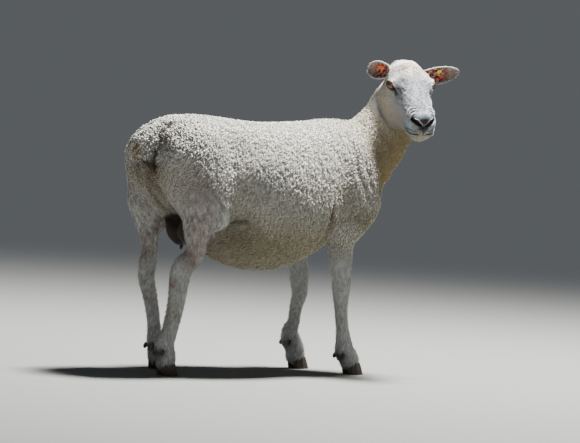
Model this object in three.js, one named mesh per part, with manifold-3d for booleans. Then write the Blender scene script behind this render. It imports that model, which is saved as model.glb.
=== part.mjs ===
// A freshly shorn ewe of a white-faced, polled hill breed, standing at life size with her head
// turned back over her right shoulder. Millimetres, +Z up, +X towards the chest, +Y to her left.
// Every form is a loft: oval sections strung along a bone line, or a plate along a curve.
import * as THREE from "three";
import { mergeVertices } from "three/addons/utils/BufferGeometryUtils.js";
import Module from "manifold-3d";

const wasm = await Module();
wasm.setup();

// ---- Driving dimensions ----
const GAP = 0.35; // clearance left between neighbouring pieces
const EYE_RADIUS = 14.5;
const EYE_SPREAD = 56; // from the middle of the skull to the middle of an eyeball
const EYE_AHEAD = 78;
const EYE_BELOW = 28;
const EAR_LENGTH = 120;
const EAR_WIDTH = 48;
const EAR_THICKNESS = 4;
const TAG_THICKNESS = 2;
const CLAW_LENGTH = 56;
const CLAW_WIDTH = 25;
const CLAW_HEIGHT = 34;
const CLAW_SPLAY = 13.5; // from the middle of the foot to the middle of a claw
const DEWCLAW_LENGTH = 20;
const DEWCLAW_RADIUS = 6.5;
const CUT_THICKNESS = 0.7; // the saw line between the lengths of a leg
const POLL = [482, -72, 898]; // the top of the skull, between the ears
const LEAN = 0.06; // how far the body sets back for its height, as she stands off a slope
const HEAD_HEADING = -113; // degrees from +X, so she looks back over the right shoulder
const HEAD_TILT = 3; // degrees that her left ear is raised
const HEAD_PITCH = 36; // degrees that the line of the face falls

// ---- Materials ----
const finish = (color, roughness, metalness = 0) =>
  new THREE.MeshStandardMaterial({ color, roughness, metalness });
const FLEECE = finish(0xd9d2c4, 0.95);
const SHORT_HAIR = finish(0xd8d4cc, 0.85);
const UDDER_SKIN = finish(0xb08a7c, 0.7);
const EAR_SKIN = finish(0xcdb9ac, 0.8);
const IRIS = finish(0xa8742c, 0.15);
const HORN = finish(0x2b2622, 0.55);
const TAG_COLOURS = { orange: finish(0xe8641c, 0.4), yellow: finish(0xd8c81e, 0.4) };

// ---- Section tables ----
// The trunk, from rump to breast: distance along X, top, underside, half width, height of the widest part.
const TRUNK = [
  [-320, 640, 548, 72, 600],
  [-311, 663, 524, 106, 605],
  [-288, 684, 495, 120, 607],
  [-250, 704, 452, 122, 603],
  [-205, 711, 408, 126, 586],
  [-150, 712, 364, 138, 554],
  [-92, 708, 326, 157, 520],
  [-30, 703, 297, 178, 488],
  [40, 700, 286, 188, 476],
  [110, 702, 290, 182, 478],
  [175, 706, 310, 167, 490],
  [235, 711, 336, 149, 502],
  [290, 715, 372, 134, 512],
  [345, 712, 386, 118, 520],
  [392, 686, 396, 100, 522],
  [426, 640, 414, 80, 524],
  [448, 592, 448, 46, 522],
];

// Bone lines: x, y, z, half width across, reach to the front (or top), reach to the back (or
// underside), and the heading in degrees that the section faces.
const NECK = [
  [330, 0, 560, 88, 152, 150, 0],
  [398, 0, 600, 84, 124, 128, 0],
  [456, -6, 648, 74, 96, 106, -6],
  [507, -14, 702, 64, 84, 88, -18],
  [544, -26, 758, 58, 82, 78, -34],
  [564, -42, 806, 55, 74, 74, -54],
  [568, -58, 842, 47, 50, 54, -70],
];
const TAIL = [
  [-262, 2, 668, 26, 17, 22, 0],
  [-297, 2, 650, 33, 21, 28, 0],
  [-325, 2, 628, 35, 24, 32, 0],
  [-338, 2, 598, 33, 22, 28, 0],
  [-342, 2, 572, 26, 18, 22, 0],
  [-342, 2, 556, 14, 10, 13, 0],
];
// The skull in its own frame, from nape to lips: distance along the face line, top, underside,
// half width, height of the widest part.
const SKULL = [
  [-36, -44, -100, 28, -70],
  [-20, -16, -132, 46, -72],
  [4, 0, -154, 56, -78],
  [32, 6, -167, 61, -84],
  [60, 7, -171, 63, -84],
  [88, 3, -163, 61, -78],
  [118, -5, -149, 54, -70],
  [148, -10, -136, 48, -65],
  [178, -12, -125, 44, -62],
  [206, -15, -117, 42, -62],
  [228, -22, -110, 39, -63],
  [243, -34, -99, 32, -64],
  [251, -48, -80, 16, -64],
];

// One foreleg: foot set forward or back by its stance, y positive and mirrored by side.
const foreleg = ({ elbow, knee, fetlock, toe, spread, rise }) => [
  [330, 60, 648, 26, 34, 62, 0],
  [346, 80, 612, 38, 50, 94, 0],
  [358, 96, 552, 46, 56, 108, 0],
  [348, 104, 490, 48, 60, 98, 0],
  [elbow + 40, 108, 436, 42, 54, 72, 0],
  [elbow + 8, 107, 384, 34, 42, 45, 0],
  [(elbow + knee) / 2 + 1, spread + 10, 320, 28, 34, 34, 0],
  [knee, spread + 5, 280, 25, 28, 28, 0],
  [knee, spread + 3, 250, 26, 27, 26, 0],
  [knee + 1, spread + 1, 220, 22, 24, 22, 0],
  [(2 * knee + fetlock) / 3 - 2, spread, 176, 18, 19, 19, 0],
  [(knee + 2 * fetlock) / 3 - 2, spread, 124, 18, 19, 20, 0],
  [fetlock - 2, spread, 88 + rise, 22, 23, 27, 0],
  [fetlock, spread, 66 + rise, 26, 27, 31, 0],
  [(fetlock + toe) / 2 - 12, spread, 46 + rise / 2, 26, 28, 28, 0],
  [toe - 37, spread, 31, 26, 27, 29, 0],
  [toe - 33, spread, 18, 17, 15, 14, 0],
];
// One hind leg, from the hip to the coronet.
const hindleg = ({ stifle, ham, gaskin, hock, fetlock, toe, spread, slim }) => [
  [-212, 56, 650, 42, 66, 84, 0],
  [-210, 76, 616, 62, 96, 114, 0],
  [-206, 85, 560, 70, 110, 114, 0],
  [stifle - 30, 93, 504, 68, 116, 104, 0],
  [stifle - 34, 104, 448, 56, 92, ham - 12, 0],
  [gaskin + 14, 113, 390, 34 * slim, 24 * slim, (ham - 40) * slim, 0],
  [gaskin, 110, 336, 25 * slim, 28 * slim, 28 * slim, 0],
  [hock + 6, spread + 10, 290, 24 * slim, 27 * slim, 36 * slim, 0],
  [hock - 1, spread + 7, 256, 24 * slim, 24 * slim, 33 * slim, 0],
  [(3 * hock + fetlock) / 4 + 2, spread + 5, 208, 22 * slim, 24 * slim, 27 * slim, 0],
  [(hock + fetlock) / 2 + 3, spread + 3, 162, 21 * slim, 24 * slim, 23 * slim, 0],
  [(hock + 3 * fetlock) / 4 + 2, spread + 1, 118, 21 * slim, 24 * slim, 23 * slim, 0],
  [fetlock, spread, 80, 25 * slim, 26 * slim, 30 * slim, 0],
  [(fetlock + toe) / 2 - 13, spread, 52, 26, 27, 28, 0],
  [toe - 37, spread, 31, 26, 27, 24, 0],
  [toe - 33, spread, 18, 17, 15, 14, 0],
];
// The udder hangs between the thighs, in two halves that share this table.
const UDDER = [
  [-232, 29, 422, 27, 34, 28, 0],
  [-225, 27, 398, 31, 38, 31, 0],
  [-218, 25, 376, 29, 34, 28, 0],
  [-212, 23, 359, 19, 21, 18, 0],
];
const TEAT_LENGTH = 18;
// Names of the lengths of a leg, each with the level of its lower end.
const PARTING = {
  fore: [["shoulder", 405], ["forearm", 254], ["cannon_fore", 74], ["pastern_fore", CLAW_HEIGHT]],
  hind: [["thigh", 392], ["gaskin", 276], ["cannon_hind", 88], ["pastern_hind", CLAW_HEIGHT]],
};
const DEWCLAW_LEVEL = { fore: 55, hind: 66 }; // above the ground, for a leg without rise
const RIGHT_FORE = { table: foreleg, side: -1, elbow: 270, knee: 288, fetlock: 306, toe: 363 };
const LEFT_FORE = { table: foreleg, side: 1, elbow: 266, knee: 281, fetlock: 250, toe: 306 };
const RIGHT_HIND = { table: hindleg, side: -1, gaskin: -238, hock: -278, fetlock: -325, toe: -287 };
const LEFT_HIND = { table: hindleg, side: 1, gaskin: -232, hock: -250, fetlock: -227, toe: -186 };
const STANCE = {
  foreleg_right: { ...RIGHT_FORE, spread: 90, rise: 0 },
  foreleg_left: { ...LEFT_FORE, spread: 88, rise: 22 },
  hindleg_right: { ...RIGHT_HIND, stifle: -172, ham: 90, spread: 92, slim: 1, rise: 0 },
  hindleg_left: { ...LEFT_HIND, stifle: -172, ham: 112, spread: 88, slim: 0.84, rise: 0 },
};

// ---- Lofting ----
// Rows of numbers drawn out into a smooth run of count rows.
function smoothRows(table, count) {
  const size = table[0].length;
  const times = [0];
  for (let i = 1; i < table.length; i++) {
    const [a, b] = [table[i - 1], table[i]];
    times.push(times[i - 1] + Math.hypot(b[0] - a[0], (b[1] - a[1]) / 2, (b[2] - a[2]) / 2));
  }
  const spline = new THREE.CubicInterpolant(times, table.flat(), size);
  const last = times[times.length - 1];
  return Array.from({ length: count }, (_, i) => Array.from(spline.evaluate((last * i) / (count - 1))));
}

// The rows of a bone line with the lean of the stance.
const leaning = (table) => table.map(([x, y, z, ...rest]) => [x - LEAN * z, y, z, ...rest]);

// A lying form such as the trunk or skull, as rows of a bone line along X.
const lying = (table) =>
  table.map(([x, top, under, half, widest]) => [x, 0, widest, half, top - widest, widest - under, 0]);

// Unit axes of the section at row i of a bone line: across, and to the front or top.
function sectionAxes(rows, i, acrossX) {
  const at = (k) => new THREE.Vector3().fromArray(rows[k]);
  const along = acrossX
    ? new THREE.Vector3(1, 0, 0)
    : at(Math.min(i + 1, rows.length - 1)).sub(at(Math.max(i - 1, 0))).normalize();
  const heading = THREE.MathUtils.degToRad(rows[i][6]);
  const across = new THREE.Vector3(-Math.sin(heading), Math.cos(heading), 0);
  across.addScaledVector(along, -across.dot(along)).normalize();
  return [across, new THREE.Vector3().crossVectors(along, across)];
}

// A closed mesh from rings of points, with a point closing each end.
function skinOver(rings, first, last) {
  const around = rings[0].length;
  const points = [first, ...rings.flat(), last];
  const faces = [];
  for (let j = 0; j < around; j++) {
    const next = (j + 1) % around;
    faces.push(0, 1 + next, 1 + j);
    for (let i = 0; i + 1 < rings.length; i++) {
      const [a, b] = [1 + i * around, 1 + (i + 1) * around];
      faces.push(a + j, a + next, b + next, a + j, b + next, b + j);
    }
    const end = 1 + (rings.length - 1) * around;
    faces.push(points.length - 1, end + j, end + next);
  }
  const geometry = new THREE.BufferGeometry().setFromPoints(points);
  geometry.setIndex(faces);
  return geometry;
}

// Superelliptic sections along a bone line, each grown outwards by grow. square above 2 fills the corners.
function loft(table, { around = 16, count = 12, square = 2, grow = 0, acrossX = false } = {}) {
  const rows = smoothRows(table, count);
  const rings = rows.map((row, i) => {
    const [across, front] = sectionAxes(rows, i, acrossX);
    const centre = new THREE.Vector3().fromArray(row);
    return Array.from({ length: around }, (_, j) => {
      const turn = (2 * Math.PI * (j + 0.5)) / around;
      const [c, s] = [Math.cos(turn), Math.sin(turn)];
      const fill = (Math.abs(c) ** square + Math.abs(s) ** square) ** (-1 / square);
      const reach = s > 0 ? row[4] : row[5];
      return centre
        .clone()
        .addScaledVector(across, c * fill * (row[3] + grow))
        .addScaledVector(front, s * fill * (reach + grow));
    });
  });
  const tip = (i, inner) => {
    const end = new THREE.Vector3().fromArray(rows[i]);
    const away = end.clone().sub(new THREE.Vector3().fromArray(rows[inner])).normalize();
    return end.addScaledVector(away, 0.35 * rows[i][3] + grow);
  };
  return skinOver(rings, tip(0, 1), tip(count - 1, count - 2));
}

// ---- Solids ----
function solid(geometry, matrix = new THREE.Matrix4()) {
  const plain = geometry.clone().applyMatrix4(matrix);
  plain.deleteAttribute("normal");
  plain.deleteAttribute("uv");
  const merged = mergeVertices(plain, 1e-3);
  const made = new wasm.Manifold(
    new wasm.Mesh({
      numProp: 3,
      vertProperties: new Float32Array(merged.attributes.position.array),
      triVerts: new Uint32Array(merged.index.array),
    }),
  );
  if (made.volume() <= 0) throw new Error("a piece is inside out");
  return made;
}
const join = (...solids) => solids.reduce((a, b) => a.add(b));
const cut = (whole, ...tools) => tools.reduce((a, b) => a.subtract(b), whole);
// The main body of a cut piece, without the slivers that a cut can leave.
const largest = (pieces) => pieces.decompose().sort((a, b) => b.volume() - a.volume())[0];

// A bar of the given size with round corners, its middle at the origin, lying in the XY plane.
function bar(length, width, thickness, grow = 0) {
  const [a, b, r] = [length / 2 + grow, width / 2 + grow, width / 3];
  const outline = new THREE.Shape();
  outline.moveTo(-a + r, -b).lineTo(a - r, -b).quadraticCurveTo(a, -b, a, -b + r);
  outline.lineTo(a, b - r).quadraticCurveTo(a, b, a - r, b).lineTo(-a + r, b);
  outline.quadraticCurveTo(-a, b, -a, b - r).lineTo(-a, -b + r).quadraticCurveTo(-a, -b, -a + r, -b);
  const depth = thickness + 2 * grow;
  const plate = new THREE.ExtrudeGeometry(outline, { depth, bevelEnabled: false, curveSegments: 2 });
  return plate.translate(0, 0, -depth / 2);
}
function ellipsoid([x, y, z], [rx, ry, rz], detail = 12, grow = 0) {
  const ball = new THREE.SphereGeometry(1, detail, Math.round(detail * 0.7));
  ball.scale(rx + grow, ry + grow, rz + grow).translate(x, y, z);
  return solid(ball);
}

// ---- Head, in the frame of the skull: +X down the face, +Y to her left, +Z up from the face ----
const HEAD_FRAME = new THREE.Matrix4()
  .makeTranslation(...POLL)
  .multiply(new THREE.Matrix4().makeRotationZ(THREE.MathUtils.degToRad(HEAD_HEADING)))
  .multiply(new THREE.Matrix4().makeRotationX(THREE.MathUtils.degToRad(HEAD_TILT)))
  .multiply(new THREE.Matrix4().makeRotationY(THREE.MathUtils.degToRad(HEAD_PITCH)));
const BOTH = [-1, 1];
const eyePlace = (side) => [EYE_AHEAD, side * EYE_SPREAD, -EYE_BELOW];

function skull(grow = 0) {
  const swell = (place, size, detail) => ellipsoid(place, size, detail, grow);
  const lumps = BOTH.flatMap((side) => [
    swell([74, side * 39, -31], [44, 25, 26], 11), // brow and rim of the eye socket
    swell([58, side * 40, -112], [62, 28, 58], 11), // cheek muscle over the jaw
    swell([218, side * 17, -48], [36, 20, 24], 10), // wing of the nostril
    swell([214, side * 17, -80], [38, 24, 26], 9), // upper lip
  ]);
  const jowl = swell([30, -46, -114], [46, 24, 50], 10); // pressed out where her head turns back
  const chin = swell([215, 0, -101], [29, 27, 19], 9);
  const box = loft(lying(SKULL), { around: 18, count: 15, square: 2.4, grow, acrossX: true });
  return join(solid(box), chin, jowl, ...lumps);
}

// A cupped, pointed ear: a plate along its length, hollow in front, closed round its rim.
// In the skull's frame: along is the way it points, open the way its hollow looks, and blunt how
// square its tip is.
const RIGHT_TAGS = [["orange", { length: 36, width: 10 }, 0.36, -0.3]];
const LEFT_TAGS = [
  ["yellow", { length: 14, width: 13 }, 0.46, 0.36],
  ["orange", { length: 10, width: 7 }, 0.46, -0.04],
];
const EARS = {
  ear_right: {
    root: [6, -46, -38],
    along: [-0.9, -0.22, -0.56],
    open: [0.1, -0.9, 0.3],
    blunt: 14,
    tags: RIGHT_TAGS,
  },
  ear_left: {
    root: [17, 48, -45],
    along: [-0.2, 0.97, 0],
    open: [0.86, 0.2, 0.3],
    blunt: 8,
    tags: LEFT_TAGS,
  },
};
function earPoint({ root, along: way, open, blunt }, s, t, back) {
  const start = new THREE.Vector3(...root);
  const along = new THREE.Vector3(...way).normalize();
  const face = new THREE.Vector3(...open);
  face.addScaledVector(along, -face.dot(along)).normalize();
  const across = new THREE.Vector3().crossVectors(face, along);
  const swell = 0.18 + 0.35 * Math.sin(Math.PI * (0.2 + 0.72 * s));
  const half = EAR_WIDTH * swell * Math.sqrt(1 - s ** blunt);
  const curl = 1.25 - 0.6 * s; // radians that each edge of the plate turns towards the front
  const bend = (t * curl * 0.5 * Math.PI) / 1.6;
  const radius = half / Math.sin(Math.min(1.45, (curl * 0.5 * Math.PI) / 1.6));
  const depth = radius * (1 - Math.cos(bend));
  const wall = back ? EAR_THICKNESS * (1 - 0.35 * Math.abs(t)) : 0;
  return start
    .clone()
    .addScaledVector(along, s * EAR_LENGTH)
    .addScaledVector(across, (radius + wall) * Math.sin(bend))
    .addScaledVector(face, depth - wall + 6 * s * s);
}
function ear(shape, along = 8, half = 4) {
  const rings = Array.from({ length: along }, (_, i) => {
    const s = (0.97 * i) / (along - 1);
    const spread = (k) => (k / half) * 0.98;
    const row = (back) =>
      Array.from({ length: 2 * half + 1 }, (_, k) => earPoint(shape, s, spread(k - half), back));
    return [...row(false).reverse(), ...row(true)];
  });
  const middle = (s) => earPoint(shape, s, 0, false).lerp(earPoint(shape, s, 0, true), 0.5);
  const made = skinOver(rings, middle(-0.02), middle(1));
  return solid(made);
}

// The place on an ear's hollow face at s along it and t across it, with Z standing off the face.
function earPlace(shape, s, t) {
  const here = earPoint(shape, s, t, false);
  const along = earPoint(shape, s + 0.05, t, false).sub(here).normalize();
  const across = earPoint(shape, s, t + 0.05, false).sub(here);
  const out = new THREE.Vector3().crossVectors(along, across).normalize();
  if (out.dot(new THREE.Vector3(...shape.open)) < 0) out.negate();
  across.crossVectors(out, along);
  return new THREE.Matrix4().makeBasis(along, across, out).setPosition(here);
}
// A two-plate tag, pinned through the ear, or the room that it needs.
function tag({ length, width, drop = 0 }, place, grow = 0) {
  const at = (geometry, x, z) => solid(geometry.translate(x, drop, z), place);
  const pin = new THREE.CylinderGeometry(2 + grow, 2 + grow, 11, 6).rotateX(Math.PI / 2);
  return join(
    at(bar(length, width, TAG_THICKNESS, grow), 0, 2.4),
    at(pin, 0, -2.4),
    at(bar(length * 0.8, width * 0.8, TAG_THICKNESS, grow), 0, -7.6),
  );
}

// ---- Feet ----
// Rings of a claw from the ground up: height, setback of the toe, setback of the heel, half width.
const CLAW_RINGS = [
  [0, 0, 3, 0.44],
  [0.4, 5, 0, 0.49],
  [0.75, 10, 1, 0.48],
  [1, 14, 3, 0.44],
];
function claw(around = 8) {
  const rings = CLAW_RINGS.map(([rise, toe, heel, half]) => {
    const [front, rear] = [CLAW_LENGTH / 2 - toe, -CLAW_LENGTH / 2 + heel];
    return Array.from({ length: around }, (_, j) => {
      const turn = (2 * Math.PI * j) / around;
      const x = (front + rear) / 2 + ((front - rear) / 2) * Math.cos(turn);
      const taper = 1 - 0.3 * Math.max(0, Math.cos(turn)) ** 2;
      return new THREE.Vector3(x, half * CLAW_WIDTH * taper * Math.sin(turn), rise * CLAW_HEIGHT);
    });
  });
  const centre = (ring) => ring.reduce((a, p) => a.add(p), new THREE.Vector3()).divideScalar(ring.length);
  return solid(skinOver(rings, centre(rings[0]), centre(rings[3])));
}
function dewclaw(grow = 0) {
  const outline = [
    [0, -DEWCLAW_LENGTH * 0.35 - grow],
    [DEWCLAW_RADIUS * 0.8 + grow, -DEWCLAW_LENGTH * 0.25],
    [DEWCLAW_RADIUS + grow, DEWCLAW_LENGTH * 0.15],
    [DEWCLAW_RADIUS * 0.62 + grow, DEWCLAW_LENGTH * 0.5],
    [0, DEWCLAW_LENGTH * 0.65 + grow],
  ].map(([r, y]) => new THREE.Vector2(r, y));
  return new THREE.LatheGeometry(outline, 6);
}

// ---- Assembly ----
const ewe = new THREE.Group();
function add(name, made, material) {
  const mesh = made.getMesh();
  const geometry = new THREE.BufferGeometry();
  geometry.setAttribute("position", new THREE.BufferAttribute(new Float32Array(mesh.vertProperties), 3));
  geometry.setIndex(new THREE.BufferAttribute(new Uint32Array(mesh.triVerts), 1));
  const node = new THREE.Mesh(geometry, material);
  node.name = name;
  ewe.add(node);
}

const mirrored = (rows, side) => rows.map(([x, y, ...rest]) => [x, side * y, ...rest]);
const toHead = (made) => made.transform(HEAD_FRAME.elements);

const trunkShape = { around: 22, count: 18, square: 2.15, acrossX: true };
const LEG_SHAPE = { around: 10, count: 19, square: 2.1 };
const legRooms = Object.values(STANCE).map((stance) => {
  const rows = leaning(mirrored(stance.table(stance), stance.side));
  return solid(loft(rows, { ...LEG_SHAPE, grow: GAP }));
});
const trunk = solid(loft(leaning(lying(TRUNK)), trunkShape));
const trunkRoom = solid(loft(leaning(lying(TRUNK)), { ...trunkShape, grow: GAP }));
const head = toHead(skull());
const headRoom = toHead(skull(GAP));
const eyes = BOTH.map((side) => toHead(ellipsoid(eyePlace(side), [EYE_RADIUS, EYE_RADIUS, EYE_RADIUS], 9)));
const eyeRoom = BOTH.map((side) =>
  toHead(ellipsoid(eyePlace(side), [EYE_RADIUS, EYE_RADIUS, EYE_RADIUS], 9, GAP)),
);

add("trunk", trunk, FLEECE);
const neck = solid(loft(leaning(NECK), { around: 15, count: 9 }));
add("neck", largest(cut(neck, trunkRoom, headRoom, ...legRooms)), FLEECE);
add("head", cut(head, ...eyeRoom), SHORT_HAIR);
add("eye_right", eyes[0], IRIS);
add("eye_left", eyes[1], IRIS);
for (const [name, shape] of Object.entries(EARS)) {
  const pinned = shape.tags.map(([kind, size, s, t]) => [kind, size, earPlace(shape, s, t)]);
  const rooms = pinned.map(([, size, place]) => tag(size, place, GAP));
  add(name, largest(cut(toHead(cut(ear(shape), ...rooms)), headRoom)), EAR_SKIN);
  for (const [kind, size, place] of pinned) {
    add(`tag_${kind}_${name.slice(4)}`, toHead(tag(size, place)), TAG_COLOURS[kind]);
  }
}

const between = (low, high) =>
  solid(new THREE.BoxGeometry(1200, 600, high - low).translate(0, 0, (low + high) / 2));
for (const [name, stance] of Object.entries(STANCE)) {
  const [kind, hand] = name.split("_");
  const place = kind.slice(0, 4);
  const footY = stance.side * stance.spread;
  const dewclawAt = (side) =>
    new THREE.Matrix4()
      .makeTranslation(stance.fetlock - 23, footY + side * 18, DEWCLAW_LEVEL[place] + stance.rise)
      .multiply(new THREE.Matrix4().makeRotationX(0.6 - Math.PI / 2));
  const rows = leaning(mirrored(stance.table(stance), stance.side));
  const rooms = BOTH.map((side) => solid(dewclaw(GAP), dewclawAt(side)));
  const leg = cut(solid(loft(rows, LEG_SHAPE)), trunkRoom, ...rooms);
  let top = 900;
  for (const [part, low] of PARTING[place]) {
    const slab = between(low + CUT_THICKNESS / 2, top - CUT_THICKNESS / 2);
    add(`${part}_${hand}`, largest(leg.intersect(slab)), FLEECE);
    top = low;
  }
  for (const [sideName, side] of [["inner", -stance.side], ["outer", stance.side]]) {
    const middle = [stance.toe - CLAW_LENGTH / 2, footY + side * CLAW_SPLAY, 0];
    const spot = new THREE.Matrix4().makeTranslation(...middle);
    add(`claw_${place}_${sideName}_${hand}`, claw().transform(spot.elements), HORN);
    add(`dewclaw_${place}_${sideName}_${hand}`, solid(dewclaw(), dewclawAt(side)), HORN);
  }
}
const udderHalf = (side) => {
  const half = mirrored(UDDER, side);
  const end = half[half.length - 1];
  const teat = new THREE.CapsuleGeometry(7, TEAT_LENGTH, 2, 7).rotateX(Math.PI / 2);
  teat.rotateX(side * 0.35).translate(end[0] + 12, end[1] + side * 9, end[2] - 8);
  return join(solid(loft(half, { around: 9, count: 5 })), solid(teat));
};
add("udder", largest(cut(join(udderHalf(-1), udderHalf(1)), trunkRoom, ...legRooms)), UDDER_SKIN);
add("tail", largest(cut(solid(loft(leaning(TAIL), { around: 11, count: 7 })), trunkRoom)), FLEECE);

// She stands with the middle of her bounding box over the origin, and her soles at zero.
const reach = new THREE.Box3().setFromObject(ewe);
const middle = reach.getCenter(new THREE.Vector3());
ewe.position.set(-middle.x, -middle.y, -reach.min.z);

export default ewe;
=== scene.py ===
"""A freshly shorn, white-faced ewe at life size: her skin, fleece, short hair, eyes, hoofs and ear tags.

The forms are worked out in millimetres in the ewe's own frame (+X towards the chest, +Y to her left, +Z up)
and her head in the frame of the skull (+X down the face, +Z up from the face). Pieces are made in metres.
"""

import math

import bpy
import numpy as np
import openvdb
from mathutils import Matrix, Vector


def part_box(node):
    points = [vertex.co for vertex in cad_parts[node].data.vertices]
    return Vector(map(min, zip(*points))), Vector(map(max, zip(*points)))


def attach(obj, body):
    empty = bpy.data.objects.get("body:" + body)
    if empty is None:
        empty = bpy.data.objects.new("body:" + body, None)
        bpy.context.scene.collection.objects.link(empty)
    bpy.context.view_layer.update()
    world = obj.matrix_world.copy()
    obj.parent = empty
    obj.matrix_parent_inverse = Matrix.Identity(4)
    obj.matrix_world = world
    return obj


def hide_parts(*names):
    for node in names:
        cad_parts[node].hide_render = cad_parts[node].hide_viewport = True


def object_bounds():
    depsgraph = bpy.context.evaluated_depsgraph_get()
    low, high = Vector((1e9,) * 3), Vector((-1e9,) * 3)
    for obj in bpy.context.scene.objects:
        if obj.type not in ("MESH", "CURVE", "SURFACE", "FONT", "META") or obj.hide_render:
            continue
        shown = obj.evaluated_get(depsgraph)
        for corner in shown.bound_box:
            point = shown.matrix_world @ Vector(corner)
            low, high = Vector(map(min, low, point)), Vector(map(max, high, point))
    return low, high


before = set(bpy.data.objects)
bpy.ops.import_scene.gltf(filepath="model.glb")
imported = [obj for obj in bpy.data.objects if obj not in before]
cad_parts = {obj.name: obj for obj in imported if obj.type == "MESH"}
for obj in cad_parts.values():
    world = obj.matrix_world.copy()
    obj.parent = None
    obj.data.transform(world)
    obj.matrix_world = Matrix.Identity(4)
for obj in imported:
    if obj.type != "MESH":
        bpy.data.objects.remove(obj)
CAD_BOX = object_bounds()

# ---- Driving dimensions, millimetres ----
LEAN = 0.06
POLL = (482, -72, 898)
HEAD_TURN = (-113, 3, 36)
EYE_RADIUS = 14.5
EYE_PLACE = (78, 56, -28)
EYE_AXIS = (0.48, 0.82, 0.26)
LID_THICKNESS = 2.3
EAR_LENGTH = 120
EAR_WIDTH = 48
EAR_THICKNESS = 4
LID_RADIUS = EYE_RADIUS + LID_THICKNESS
SIDES = {"right": -1, "left": 1}
WOOL_DEPTH = 4.5
HAIR_DEPTH = 1.4
SKIN_GRID = 6.5
SKIN_LOW = (-416.0, -272.0, -6.0)
SKIN_HIGH = (690.0, 215.0, 925.0)

TRUNK = [
    [-320, 640, 548, 72, 600],
    [-311, 663, 524, 106, 605],
    [-288, 684, 495, 120, 607],
    [-250, 704, 452, 122, 603],
    [-205, 711, 408, 126, 586],
    [-150, 712, 364, 138, 554],
    [-92, 708, 326, 157, 520],
    [-30, 703, 297, 178, 488],
    [40, 700, 286, 188, 476],
    [110, 702, 290, 182, 478],
    [175, 706, 310, 167, 490],
    [235, 711, 336, 149, 502],
    [290, 715, 372, 134, 512],
    [345, 712, 386, 118, 520],
    [392, 686, 396, 100, 522],
    [426, 640, 414, 80, 524],
    [448, 592, 448, 46, 522],
]
NECK = [
    [330, 0, 560, 88, 152, 150, 0],
    [398, 0, 600, 84, 124, 128, 0],
    [456, -6, 648, 74, 96, 106, -6],
    [507, -14, 702, 64, 84, 88, -18],
    [544, -26, 758, 58, 82, 78, -34],
    [564, -42, 806, 55, 74, 74, -54],
    [568, -58, 842, 47, 50, 54, -70],
]
TAIL = [
    [-262, 2, 668, 26, 17, 22, 0],
    [-297, 2, 650, 33, 21, 28, 0],
    [-325, 2, 628, 35, 24, 32, 0],
    [-338, 2, 598, 33, 22, 28, 0],
    [-342, 2, 572, 26, 18, 22, 0],
    [-342, 2, 556, 14, 10, 13, 0],
]
SKULL = [
    [-36, -44, -100, 28, -70],
    [-20, -16, -132, 46, -72],
    [4, 0, -154, 56, -78],
    [32, 6, -167, 61, -84],
    [60, 7, -171, 63, -84],
    [88, 3, -163, 61, -78],
    [118, -5, -149, 54, -70],
    [148, -10, -136, 48, -65],
    [178, -12, -125, 44, -62],
    [206, -15, -117, 42, -62],
    [228, -22, -110, 39, -63],
    [243, -34, -99, 32, -64],
    [251, -48, -80, 16, -64],
]
SKULL_LUMPS = {
    "brow_right": ((74, -39, -31), (44, 25, 26)),
    "brow_left": ((74, 39, -31), (44, 25, 26)),
    "cheek_right": ((58, -40, -112), (62, 28, 58)),
    "cheek_left": ((58, 40, -112), (62, 28, 58)),
    "nostril_right": ((218, -17, -48), (36, 20, 24)),
    "nostril_left": ((218, 17, -48), (36, 20, 24)),
    "lip_right": ((214, -17, -80), (38, 24, 26)),
    "lip_left": ((214, 17, -80), (38, 24, 26)),
    "jowl": ((30, -46, -114), (46, 24, 50)),
    "chin": ((215, 0, -101), (29, 27, 19)),
}
UDDER = [
    [-232, 29, 422, 27, 34, 28, 0],
    [-225, 27, 398, 31, 38, 31, 0],
    [-218, 25, 376, 29, 34, 28, 0],
    [-212, 23, 359, 19, 21, 18, 0],
]
STANCE = {
    "foreleg_right": dict(side=-1, elbow=270, knee=288, fetlock=306, toe=363, spread=90, rise=0),
    "foreleg_left": dict(side=1, elbow=266, knee=281, fetlock=250, toe=306, spread=88, rise=22),
    "hindleg_right": dict(
        side=-1, stifle=-172, ham=90, gaskin=-238, hock=-278, fetlock=-325, toe=-287, spread=92, slim=1
    ),
    "hindleg_left": dict(
        side=1, stifle=-172, ham=112, gaskin=-232, hock=-250, fetlock=-227, toe=-186, spread=88, slim=0.84
    ),
}
EARS = {
    "right": dict(root=(6, -46, -38), along=(-0.9, -0.22, -0.56), open=(0.1, -0.9, 0.3), blunt=14),
    "left": dict(root=(17, 48, -45), along=(-0.2, 0.97, 0), open=(0.86, 0.2, 0.3), blunt=8),
}


def foreleg_table(elbow, knee, fetlock, toe, spread, rise):
    return [
        [330, 60, 648, 26, 34, 62, 0],
        [346, 80, 612, 38, 50, 94, 0],
        [358, 96, 552, 46, 56, 108, 0],
        [348, 104, 490, 48, 60, 98, 0],
        [elbow + 40, 108, 436, 42, 54, 72, 0],
        [elbow + 8, 107, 384, 34, 42, 45, 0],
        [(elbow + knee) / 2 + 1, spread + 10, 320, 28, 34, 34, 0],
        [knee, spread + 5, 280, 25, 28, 28, 0],
        [knee, spread + 3, 250, 26, 27, 26, 0],
        [knee + 1, spread + 1, 220, 22, 24, 22, 0],
        [(2 * knee + fetlock) / 3 - 2, spread, 176, 18, 19, 19, 0],
        [(knee + 2 * fetlock) / 3 - 2, spread, 124, 18, 19, 20, 0],
        [fetlock - 2, spread, 88 + rise, 22, 23, 27, 0],
        [fetlock, spread, 66 + rise, 26, 27, 31, 0],
        [(fetlock + toe) / 2 - 12, spread, 46 + rise / 2, 26, 28, 28, 0],
        [toe - 37, spread, 31, 26, 27, 29, 0],
        [toe - 33, spread, 18, 17, 15, 14, 0],
    ]


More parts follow.
